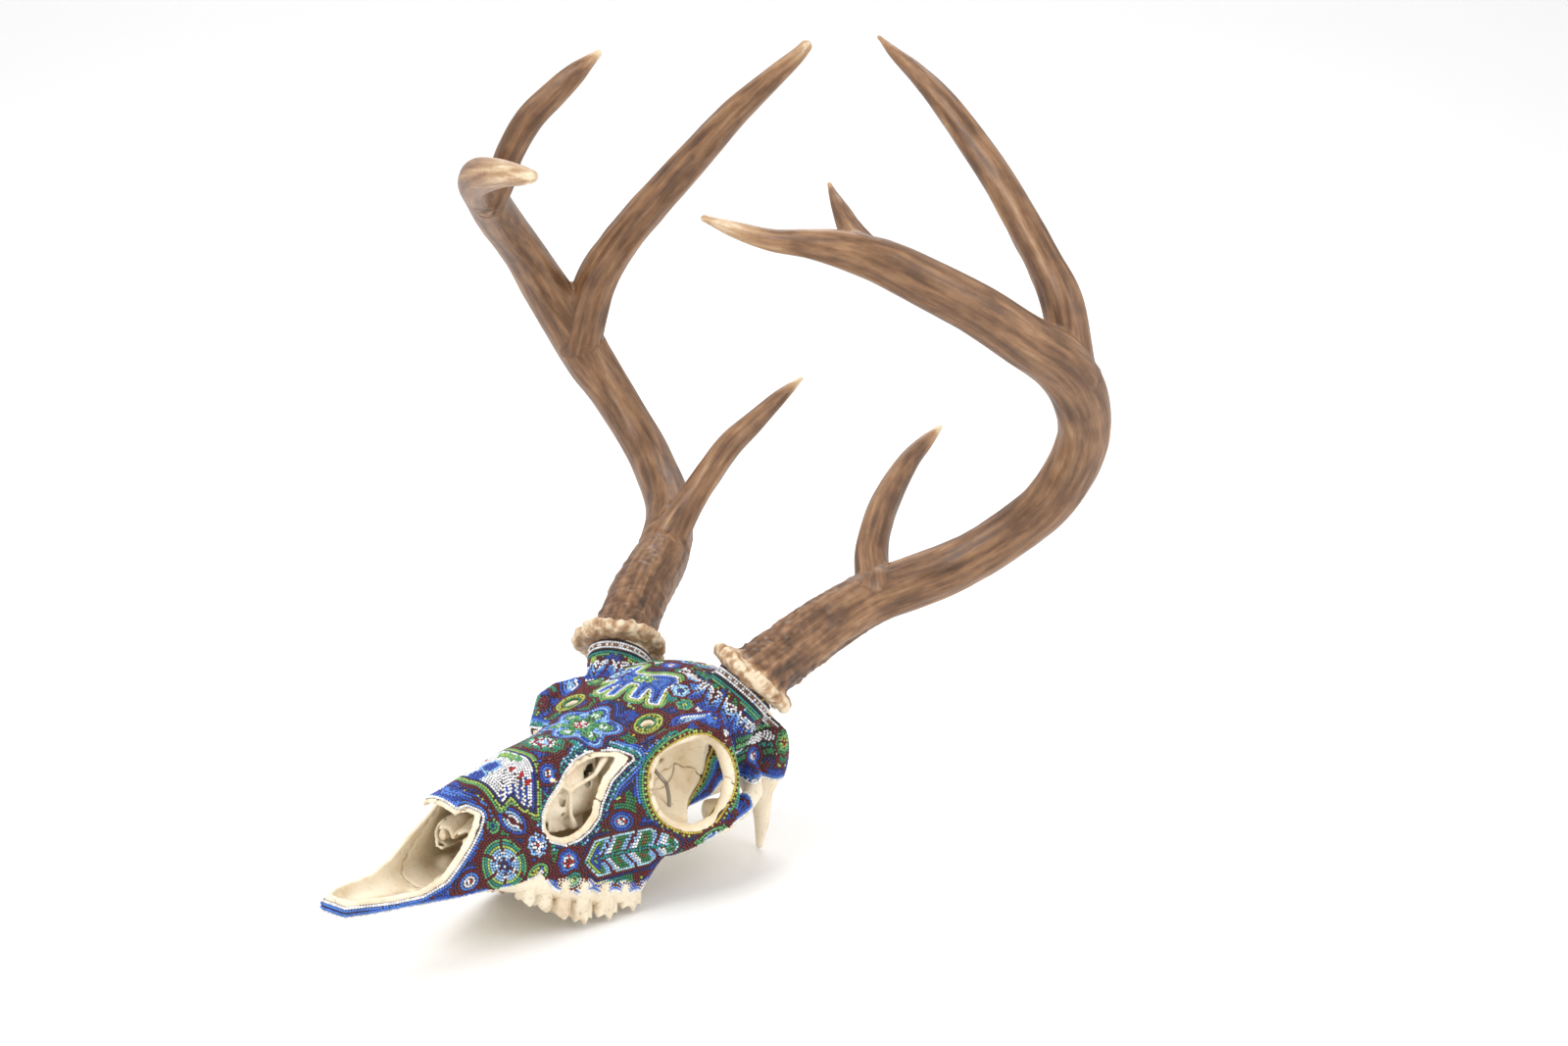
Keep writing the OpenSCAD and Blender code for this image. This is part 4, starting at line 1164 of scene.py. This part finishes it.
def paint(name, level, a, b):
    """Colours inside a motif: level is the row from its edge, a and b its own axes."""
    turn = np.arctan2(b, a)
    far = np.sqrt(a * a + b * b)
    if name == "wheel":
        out = by_ring(level, ["leaf", "teal", "lime", "pale", "white", "sky", "mid", "navy", "white"])
        petal = (far > 2.6) & (far < 7.2)
        out = where(petal & (ripple(turn, 6) > 0.45), "sky", out)
        out = where(petal & (ripple(turn, 6) > 0.9) & (far > 4) & (far < 5.6), "white", out)
        return where((far > 2) & (ripple(turn + 0.52, 6) > 0.955), "maroon", out)
    if name in ("coin_face", "coin_low", "coin_high", "coin_fore", "temple_coin", "temple_coin_b",
                "coin_back", "nose_coin"):
        out = by_ring(level, ["blue", "mid", "white", "white", "red"])
        if name == "nose_coin":
            out = by_ring(level, ["mid", "white", "white"])
        return where((level >= 2) & (ripple(turn, 4) > 0.72), "red", out)
    if name == "eye_leaf":
        out = by_ring(level, ["blue", "sky", "white", "lime", "lime"])
        return where((np.abs(b) < 1) & (level >= 1) & (level < 4), "maroon", out)
    if name == "teal_dot":
        return by_ring(level, ["leaf", "teal", "navy"])
    if name == "ice_star":
        out = by_ring(level, ["sky", "mid", "white", "red"])
        return where((level == 1) & (ripple(turn, 4) > 0.6), "white", out)
    if name == "amber_leaf":
        return by_ring(level, ["leaf", "lime", "gold", "brown", "brown"])
    if name == "sprout":
        return by_ring(level, ["teal", "leaf", "lime"])
    if name == "arrow":
        out = by_ring(level, ["pale", "sky", "white", "leaf", "green", "green"])
        chevron = np.mod(a - np.abs(b) * 0.75 + 40, 13)
        out = where(level >= 1, "sky", out)
        out = where((level >= 1) & (chevron > 3) & (chevron < 5), "white", out)
        out = where((level >= 1) & (chevron >= 5) & (chevron < 10.6), "green", out)
        out = where((chevron >= 6.8) & (chevron < 8.6) & (np.abs(b) > 3) & (np.abs(b) < 6), "brown", out)
        out = where((chevron < 1.5), "maroon", out)
        out = where(np.abs(b) < 0.9, "teal", out)
        out = where((a < -14) & (level >= 1), "blue", out)
        out = where((a < -14) & (level == 1), "lime", out)
        return where((a < -15.5) & (level >= 3), "leaf", out)
    if name == "bird":
        out = np.where(level == 0, CODE["navy"], CODE["white"])
        comb = (b > -4 + 0.35 * a) & (np.mod(a * 0.9 + b * 0.25 + 40, 3.6) < 1.3)
        out = where((level >= 1) & comb & (b > 1), "blue", out)
        marks = (np.abs(a - 3.5) < 1.6) & (np.abs(b + 5) < 1.1)
        marks = marks | ((np.abs(a - 6) < 1.6) & (np.abs(b + 0.5) < 1.1))
        marks = marks | ((np.abs(a - 8.2) < 1.6) & (np.abs(b - 4.5) < 1.1))
        out = where(marks, "red", out)
        for spot in (-11.5, -2):
            r = ((a - spot) / 4.6) ** 2 + ((b + 13.5) / 3.4) ** 2
            out = where((r < 1.5) & (level >= 1), "sky", out)
            out = where((r < 0.8) & (level >= 1), "blue", out)
        out = where(((a - 10.5) ** 2 / 9 + (b + 11) ** 2 / 16 < 1), "leaf", out)
        return where(((a - 10.5) ** 2 / 9 + (b + 11) ** 2 / 16 < 0.3), "lime", out)
    if name == "fan":
        out = by_ring(level, ["green", "teal", "leaf", "white", "red", "sky", "white"])
        return where((ripple(turn, 10) > 0.9) & (level >= 1) & (level < 5), "maroon", out)
    if name == "flower":
        out = by_ring(level, ["mid", "sky", "blue", "leaf", "leaf", "green", "leaf", "leaf", "green"])
        petal = ripple(np.arctan2(b / 20, a / 16), 6)
        k = np.sqrt((a / 16) ** 2 + (b / 20) ** 2)
        out = where((level >= 2) & (petal < 0.25) & (k > 0.42), "sky", out)
        out = where((level >= 3) & (petal < 0.06) & (k > 0.42), "mid", out)
        out = where((petal > 0.80) & (np.abs(k - 0.60) < 0.09), "white", out)
        out = where((petal > 0.93) & (np.abs(k - 0.60) < 0.035), "leaf", out)
        out = where(k < 0.22, "white", out)
        return where((k < 0.22) & (np.mod(far * 0.71, 1) < 0.5), "red", out)
    if name == "deer":
        out = by_ring(level, ["mid", "blue", "mid", "mid", "blue"])
        spot = (a - 2) ** 2 / 26 + (b + 3.4) ** 2 / 9
        out = where(spot < 1.3, "lime", out)
        out = where(spot < 0.8, "leaf", out)
        out = where((spot < 0.8) & (np.mod(a, 2.8) < 1.2) & (np.mod(b, 2.8) < 1.2), "white", out)
        return out
    if name == "brow_ring":
        return by_ring(level, ["lime", "gold", "leaf", "navy"])
    if name == "flower_a":
        return by_ring(level, ["sky", "pale", "blue", "white"])
    if name == "flower_b":
        return by_ring(level, ["leaf", "teal", "lime", "white"])
    if name == "wing":
        out = by_ring(level, ["blue", "mid", "sky", "white"])
        return where((b < -1.5) & (level >= 1), "white", out)
    if name == "nape_flower":
        return by_ring(level, ["green", "leaf", "lime", "red", "gold"])
    if name == "crown_flower":
        out = by_ring(level, ["mid", "sky", "blue", "leaf", "lime", "green", "white", "red", "red"])
        return where((level >= 2) & (ripple(turn, 8) < 0.12), "maroon", out)
    return by_ring(level, ["leaf", "pale", "lime"])


EDGE_ROWS = {
    "nose": ["white", "mid", "blue", "mid", "blue", "navy"],
    "window": ["white", "navy", "sky", "mid", "blue", "navy"],
    "eye": ["gold", "lime", "leaf", "teal", "mid", "blue", "navy"],
    "lower": ["white", "mid", "blue", "blue", "navy", "maroon"],
    "burr": ["black", "white", "brown", "white", "black", "teal", "leaf", "teal", "navy"],
    "brow_hole": ["green", "lime", "navy"],
    "neck": ["white", "mid", "blue", "navy", "green", "maroon"],
}
OUTER_ROWS = {"deer": ["white", "lime", "leaf", "maroon"], "bird": ["lime", "leaf", "maroon"],
              "flower": ["maroon", "navy"], "wheel": ["maroon"], "arrow": ["maroon", "navy"]}


def sample(grid, p):
    """Value of a left-half grid at points p, mirrored for x below zero."""
    q = (np.stack([np.abs(p[:, 0]), p[:, 1], p[:, 2]], 1) - GRID_LOW) / STEP
    i = np.clip(np.floor(q).astype(int), 0, np.array(grid.shape) - 2)
    t = q - i
    out = 0
    for a in (0, 1):
        for b in (0, 1):
            for c in (0, 1):
                w = (t[:, 0] if a else 1 - t[:, 0]) * (t[:, 1] if b else 1 - t[:, 1])
                out = out + w * (t[:, 2] if c else 1 - t[:, 2]) * grid[i[:, 0] + a, i[:, 1] + b,
                                                                       i[:, 2] + c]
    return out


def slope_of(grid, p):
    """Outward direction of the skin at points p."""
    out = []
    for axis in range(3):
        d = np.zeros(3)
        d[axis] = 0.8
        out.append(sample(grid, p + d) - sample(grid, p - d))
    out = np.stack(out, 1)
    return out / np.maximum(np.linalg.norm(out, axis=1), 1e-9)[:, None]


def guides(p):
    """For points p: distance to the nearest row guide, which guide it is, and whether inside a motif."""
    left = np.stack([np.abs(p[:, 0]), p[:, 1], p[:, 2]], 1)
    side = np.where(p[:, 0] < 0, -1.0, 1.0)
    s = arc_from_top(left)
    edge = rims(left.T)
    names = list(edge)
    rows = [edge[n] for n in names]
    signs = []
    for name in MOTIF_NAMES:
        d = MOTIFS[name].distance(left[:, 1], s, left[:, 2], side)
        rows.append(np.abs(d))
        signs.append(d)
    rows = np.array(rows)
    edges = len(names)
    rows[:edges] = np.minimum(rows[:edges], NO_EDGE - 1)
    return rows.min(0), rows.argmin(0), rows[:edges].min(0), np.array(signs), s, side, names


def marching_rows(verts, tris, value, levels):
    """Lines of equal value over a mesh, each as an ordered run of points."""
    lines = []
    v = value[tris]
    low = v.min(1)
    high = v.max(1)
    for level in levels:
        pick = np.flatnonzero((low < level) & (high > level))
        if len(pick) == 0:
            continue
        above = v[pick] > level
        links = {}
        for row, t in zip(above, tris[pick]):
            keys = []
            for a, b in ((0, 1), (1, 2), (2, 0)):
                if row[a] != row[b]:
                    i, j = t[a], t[b]
                    key = (i, j) if i < j else (j, i)
                    keys.append(key)
            if len(keys) == 2:
                links.setdefault(keys[0], []).append(keys[1])
                links.setdefault(keys[1], []).append(keys[0])
        used = set()
        starts = [k for k, n in links.items() if len(n) == 1] + list(links)
        for start in starts:
            if start in used:
                continue
            run = [start]
            used.add(start)
            here = start
            while True:
                step = [n for n in links[here] if n not in used]
                if not step:
                    break
                here = step[0]
                used.add(here)
                run.append(here)
            if start in links[here] and len(run) > 3:
                run.append(start)
            if len(run) < 3:
                continue
            k = np.array(run)
            fa = value[k[:, 0]]
            fb = value[k[:, 1]]
            t = ((level - fa) / np.where(fb == fa, 1, fb - fa))[:, None]
            lines.append((level, verts[k[:, 0]] * (1 - t) + verts[k[:, 1]] * t))
    return lines


def place_beads():
    """Bead centres on the skin, in rows that follow every edge and motif outline."""
    sheet, quads = surface_net(np.concatenate([solid[:1:-1], solid[2:]]) - 0.75, [-gx[-1], gy[0], gz[0]],
                               STEP)
    value, _, open_edge, *_ = guides(sheet)
    # the skin well inside the openings takes no beads
    quads = quads[(open_edge[quads] > -3).any(1)]
    tris = np.vstack([quads[:, [0, 1, 2]], quads[:, [0, 2, 3]]])
    levels = PITCH * (np.arange(0, 16) + 0.5)
    lines = marching_rows(sheet, tris, value, levels)
    taken = {}
    beads = []

    def free(p, room):
        c = [int(n // PITCH) for n in p]
        for i in (-1, 0, 1):
            for j in (-1, 0, 1):
                for k in (-1, 0, 1):
                    for q in taken.get((c[0] + i, c[1] + j, c[2] + k), ()):
                        gap = (p[0] - q[0]) ** 2 + (p[1] - q[1]) ** 2 + (p[2] - q[2]) ** 2
                        if gap < room * room:
                            return False
        return True

    def put(p):
        taken.setdefault(tuple(int(n // PITCH) for n in p), []).append(p)
        beads.append(p)

    for level, run in lines:
        s_run = np.concatenate([[0], np.cumsum(np.linalg.norm(np.diff(run, axis=0), axis=1))])
        length = s_run[-1]
        count = max(1, int(length / PITCH))
        closed = np.linalg.norm(run[0] - run[-1]) < 0.01
        at = np.arange(count) * (length / count) if closed else (np.arange(count) + 0.5) * (length / count)
        for p in np.stack([np.interp(at, s_run, run[:, k]) for k in range(3)], 1).tolist():
            if free(p, ROW_ROOM):
                put(p)
    rest = np.vstack([sheet, sheet[quads].mean(1), (sheet[quads[:, 0]] + sheet[quads[:, 1]]) / 2])
    edge = np.concatenate([open_edge, open_edge[quads].mean(1),
                           (open_edge[quads[:, 0]] + open_edge[quads[:, 1]]) / 2])
    rest = rest[edge > 0.6]
    tree = kdtree.KDTree(len(beads))
    for i, p in enumerate(beads):
        tree.insert(p, i)
    tree.balance()
    gaps = [p for p in rest.tolist() if tree.find(p)[2] > GAP_REACH]
    for p in gaps:
        if free(p, GAP_ROOM):
            put(p)
    return np.array(beads)


def color_beads(p):
    """Colour code of each bead: ground, temple bands, fans, edge rows, then motifs."""
    value, which, open_edge, signs, s, side, edge_names = guides(p)
    level = np.floor(value / PITCH).astype(int)
    left = np.abs(p[:, 0])
    y = p[:, 1]
    z = p[:, 2]
    patch = value_noise(p, 7.0, 21)
    speck = rng.random(len(p))
    # ground between motifs
    out = np.full(len(p), CODE["maroon"])
    out = where((patch > 0.62), "navy", out)
    out = where((patch > 0.72), "blue", out)
    out = where((patch < 0.30), "green", out)
    out = where((patch < 0.18), "teal", out)
    out = where((level >= 4) & (patch > 0.45) & (patch < 0.53), "lime", out)
    # bands on the temple, running back from the eye
    temple = (y > 214) & (y < 262) & (left > 22) & (z < 98) & (z > 55)
    band = z - 0.12 * (y - 222) - 60
    stripes = [(0, "navy"), (2.5, "black"), (4, "green"), (6.8, "black"), (8.2, "teal"), (9.8, "black"),
               (11.2, "white"),
               (15.6, "black"), (17, "leaf"), (19.8, "black"), (21.2, "green"), (24, "navy"),
               (26, "maroon")]
    for start, name in stripes:
        out = where(temple & (band > start), name, out)
    # fans under the burr
    burr = rims((left, y, z))["burr"]
    around = np.arctan2((left - 40) * 0.93, (y - 224) - 0.6 * (z - 95))
    blade = np.mod(around * 1.75 + 20, 1)
    fan = (burr > 12.4) & (burr < 27) & (z > 86) & (np.hypot(left - 38, y - 226) < 30)
    depth = (burr - 12.4) / 14
    middle = np.abs(blade - 0.5)
    shade = depth + 0.9 * middle
    out = where(fan, "blue", out)
    out = where(fan & (shade < 0.80), "mid", out)
    out = where(fan & (shade < 0.58), "sky", out)
    out = where(fan & (shade < 0.44), "white", out)
    out = where(fan & ((middle > 0.43) | ((middle < 0.05) & (depth < 0.55))), "maroon", out)
    out = where(fan & (depth > 0.9), "white", out)
    edges = len(edge_names)
    for i, name in enumerate(edge_names):
        rows = EDGE_ROWS[name]
        mine = (which == i) & (level < len(rows))
        out = np.where(mine, by_ring(level, rows), out)
    at = dict(zip(edge_names, range(edges)))
    dots = np.mod(np.round(y * 0.5 + z * 0.6).astype(int), 2) == 0
    eye_dots = np.mod(np.floor(np.arctan2(z - EYE_CENTRE[2], y - EYE_CENTRE[1]) / 0.056), 2) == 0
    out = where((which == at["eye"]) & (level == 1) & eye_dots, "maroon", out)
    collar_dots = np.mod(np.floor(around / 0.11), 2) == 0
    out = where((which == at["window"]) & (level == 1) & dots, "teal", out)
    out = where((which == at["window"]) & (level == 2) & dots, "teal", out)
    out = where((which == at["burr"]) & (level == 2) & collar_dots, "white", out)
    blocks = np.mod(y + 0.5 * z, 13) < 2.6
    out = where(((which == at["nose"]) | (which == at["lower"])) & (level >= 2) & (level <= 3) & blocks,
                "maroon", out)
    for i, name in enumerate(MOTIF_NAMES):
        d = signs[i]
        mine = which == edges + i
        motif = MOTIFS[name]
        a, b = motif.local(y, s, z, side)
        inside = (d < 0) & (open_edge > 0)
        depth_row = np.floor(-d / PITCH).astype(int)
        deep = inside & ((which >= edges) | (open_edge > 1.5 * PITCH))
        out = np.where(deep, paint(name, depth_row, a, b), out)
        rows = OUTER_ROWS.get(name, ["maroon"])
        outer = mine & (d > 0) & (level < len(rows))
        out = np.where(outer, by_ring(level, rows), out)
    # a few beads of the wrong colour, as in handwork
    odd = speck > 0.996
    out = np.where(odd, np.array([CODE["sky"], CODE["gold"],
                                  CODE["maroon"]])[(speck * 1e5).astype(int) % 3], out)
    return out


RING = 7


def bead_meshes(p, normal):
    """Small glass rings, standing on the skin with the hole outwards."""
    count = len(p)
    tilt = normal + rng.normal(0, 0.05, (count, 3))
    tilt /= np.linalg.norm(tilt, axis=1)[:, None]
    ref = np.where(np.abs(tilt[:, 2:3]) < 0.8, [[0.0, 0.0, 1.0]], [[1.0, 0.0, 0.0]])
    u = np.cross(ref, tilt)
    u /= np.linalg.norm(u, axis=1)[:, None]
    w = np.cross(tilt, u)
    turn = rng.uniform(0, 6.3, count)
    u, w = (u * np.cos(turn)[:, None] + w * np.sin(turn)[:, None],
            w * np.cos(turn)[:, None] - u * np.sin(turn)[:, None])
    size = rng.uniform(0.95, 1.03, count)
    angle = np.arange(RING) * 2 * math.pi / RING
    verts = []
    for radius, height in ((0.66, -0.42), (0.70, 0.10), (0.47, 0.46), (0.20, 0.36)):
        ring = (u[:, None] * np.cos(angle)[None, :, None] + w[:, None] * np.sin(angle)[None, :,
                                                                                       None]) * radius
        verts.append(p[:, None] + (ring + tilt[:, None] * height) * size[:, None, None])
    verts.append((p - tilt * 0.15 * size[:, None])[:, None])
    verts = np.concatenate(verts, 1)
    j = np.arange(RING)
    k = (j + 1) % RING
    tris = []
    for r in range(3):
        a = r * RING
        tris += [np.stack([a + j, a + k, a + RING + k], 1),
                 np.stack([a + j, a + RING + k, a + RING + j], 1)]
    tris.append(np.stack([3 * RING + j, 3 * RING + k, np.full(RING, 4 * RING)], 1))
    tris = np.vstack(tris)
    per = 4 * RING + 1
    faces = (tris[None] + (np.arange(count) * per)[:, None, None]).reshape(-1, 3)
    return verts.reshape(-1, 3), faces, len(tris)


ZONES = {
    "nose": [(-9, -9), (100, -9), (96, 30), (80, 56), (60, 50), (-9, 50)],
    "bridge": [(50, 50), (60, 50), (80, 56), (96, 62), (128, 77.5), (148, 79.5), (148, 130), (50, 130)],
    "cheek": [(100, -9), (173, -9), (173, 78.3), (148, 79.5), (128, 77.5), (96, 62), (80, 56), (96, 30)],
    "forehead": [(148, 79.5), (173, 78.3), (173, 61), (199, 61), (205, 83), (214, 86), (226, 91),
                 (226, 140), (148, 130)],
    "arch": [(173, -9), (228, -9), (228, 60), (217, 70), (214, 86), (205, 83), (199, 61), (173, 61)],
    "temple": [(228, -9), (264.1, -9), (264.1, 91), (226, 91), (214, 86), (217, 70), (228, 60)],
    "crown": [(226, 91), (264.1, 91), (264.1, 140), (226, 140)],
    "nape": [(264.1, -9), (310, -9), (310, 140), (264.1, 140)],
}
COLLAR_LINE = [(30, 217, 76), (40, 227, 100), (50, 237, 124)]
COLLAR_SIDE = [(207, 84), (214, 86), (226, 91), (264.1, 91), (264.1, 160), (200, 160)]
BEAD_SLOT = {"nose": "beads_blue", "bridge": "beads_sky", "cheek": "beads_blue", "forehead": "beads_maroon",
             "arch": "beads_green", "temple": "beads_navy", "crown": "beads_sky", "nape": "beads_navy",
             "collar": "beads_white"}
PAIRED = ("nose", "cheek", "arch", "temple", "collar")
beads = place_beads()
print("beads", len(beads))
codes = color_beads(beads)
normals = slope_of(solid, beads)
in_collar = np.maximum(rod_field((np.abs(beads[:, 0]), beads[:, 1], beads[:, 2]), COLLAR_LINE,
                                 [22, 22, 22]),
                       polygon_field(beads[:, 1], beads[:, 2], COLLAR_SIDE)) < 0
zone_of = np.full(len(beads), "", dtype=object)
for name, poly in ZONES.items():
    inside = (polygon_field(beads[:, 1], beads[:, 2], poly) < 0) & ~in_collar
    zone_of[inside] = name
zone_of[in_collar] = "collar"
grid_cover = -np.min(list(rims(P).values()), 0)
wax = np.maximum(np.maximum(solid - 0.6, -(solid + 1.0)), grid_cover)
collar_grid = np.maximum(rod_field(P, COLLAR_LINE, [22, 22, 22]), polygon_field(AY, AZ, COLLAR_SIDE)[None])
for name in list(ZONES) + ["collar"]:
    if name == "collar":
        f = np.maximum(wax, collar_grid)
    else:
        f = np.maximum(np.maximum(wax, polygon_field(AY, AZ, ZONES[name])[None]), -collar_grid)
    paired = name in PAIRED
    for side, sign in SIDES if paired else [("", 0)]:
        mine = zone_of == name
        if paired:
            mine = mine & ((beads[:, 0] > 0) == (sign > 0))
            v, q = cropped_net(np.maximum(f, 0.05 - P[0]), GRID_LOW[0])
        else:
            v, q = cropped_net(whole(f), WHOLE_LOW)
        v, q = drop_crumbs(v, q, 30)
        if sign < 0:
            v = v * [-1, 1, 1]
            q = q[:, ::-1]
        bv, bt, per = bead_meshes(beads[mine], normals[mine])
        faces = np.vstack([q[:, [0, 1, 2]], q[:, [0, 2, 3]], bt + len(v)])
        shade = rng.integers(0, 2, mine.sum())
        slots = np.concatenate([np.zeros(2 * len(q), int), np.repeat(codes[mine] * 2 + shade, per)])
        node = f"beads_{name}" + (f"_{side}" if side else "")
        obj = new_object(node + "_piece", seat(np.vstack([v, bv])), faces, BEAD_MATERIALS, face_slots=slots)
        finish_piece(obj, BEAD_SLOT[name], node)
        print(node, mine.sum(), len(faces))


# ------------------------------------------------------- floor, light, camera
FLOOR_GREY = 0.90
SKY_LIGHT = 0.88
# name, place in metres, side in metres, watts
LAMPS = [("key", (-0.2, -1.6, 2.0), 1.4, 32), ("fill", (1.9, 0.2, 1.3), 1.6, 16),
         ("rear", (-1.2, 1.6, 1.9), 1.5, 20)]
CAMERA_PLACE = (0.8752, -0.9440, 0.5112)
CAMERA_BACK = (0.61347, -0.75079, 0.24488)
CAMERA_RIGHT = (0.77466, 0.63238, -0.0018)
CAMERA_LENS = 60.78


def studio():
    """A pale floor that rises far behind the skull, three soft lamps and an even sky."""
    floor_material = bpy.data.materials.new("floor")
    floor_material.use_nodes = True
    b = floor_material.node_tree.nodes["Principled BSDF"]
    b.inputs["Base Color"].default_value = (FLOOR_GREY, FLOOR_GREY, FLOOR_GREY, 1)
    b.inputs["Roughness"].default_value = 0.6
    size = 6.0
    rise = [(-size, 0.0), (2.2, 0.0)] + [(2.2 + 1.5 * math.sin(a), 1.5 - 1.5 * math.cos(a))
                                         for a in np.linspace(0.1, math.pi / 2, 14)] + [(3.7, 5.0)]
    back = Vector((-CAMERA_BACK[0], -CAMERA_BACK[1], 0)).normalized()
    side = Vector((back.y, -back.x, 0))
    verts = []
    for along_back, up in rise:
        for w in (-size, size):
            p = back * along_back + side * w
            verts.append((p.x, p.y, up - 0.0002))
    faces = [(2 * i, 2 * i + 1, 2 * i + 3, 2 * i + 2) for i in range(len(rise) - 1)]
    floor = new_object("floor", verts, faces, [floor_material])
    floor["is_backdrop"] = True

    for name, place, size, power in LAMPS:
        data = bpy.data.lights.new(name, "AREA")
        data.size = size
        data.energy = power
        obj = bpy.data.objects.new(name, data)
        obj.location = place
        obj.rotation_euler = (Vector((0, 0, 0.15)) - Vector(place)).to_track_quat("-Z", "Y").to_euler()
        bpy.context.scene.collection.objects.link(obj)

    world = bpy.data.worlds.new("studio")
    world.use_nodes = True
    world.node_tree.nodes["Background"].inputs["Color"].default_value = (1, 1, 1, 1)
    world.node_tree.nodes["Background"].inputs["Strength"].default_value = SKY_LIGHT
    bpy.context.scene.world = world
    bpy.context.scene.view_settings.view_transform = "Standard"
    bpy.context.scene.view_settings.look = "None"


studio()
camera_data = bpy.data.cameras.new("camera")
camera_data.lens = CAMERA_LENS
camera_data.sensor_width = 36
camera = bpy.data.objects.new("camera", camera_data)
bpy.context.scene.collection.objects.link(camera)
view_back = Vector(CAMERA_BACK).normalized()
view_right = Vector(CAMERA_RIGHT)
view_right = (view_right - view_back * view_right.dot(view_back)).normalized()
view_up = view_back.cross(view_right)
camera.matrix_world = Matrix.Translation(CAMERA_PLACE) @ Matrix((view_right, view_up,
                                                                 view_back)).transposed().to_4x4()
bpy.context.scene.camera = camera
camera_data.clip_start = 0.05
camera_data.clip_end = 30

low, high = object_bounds()
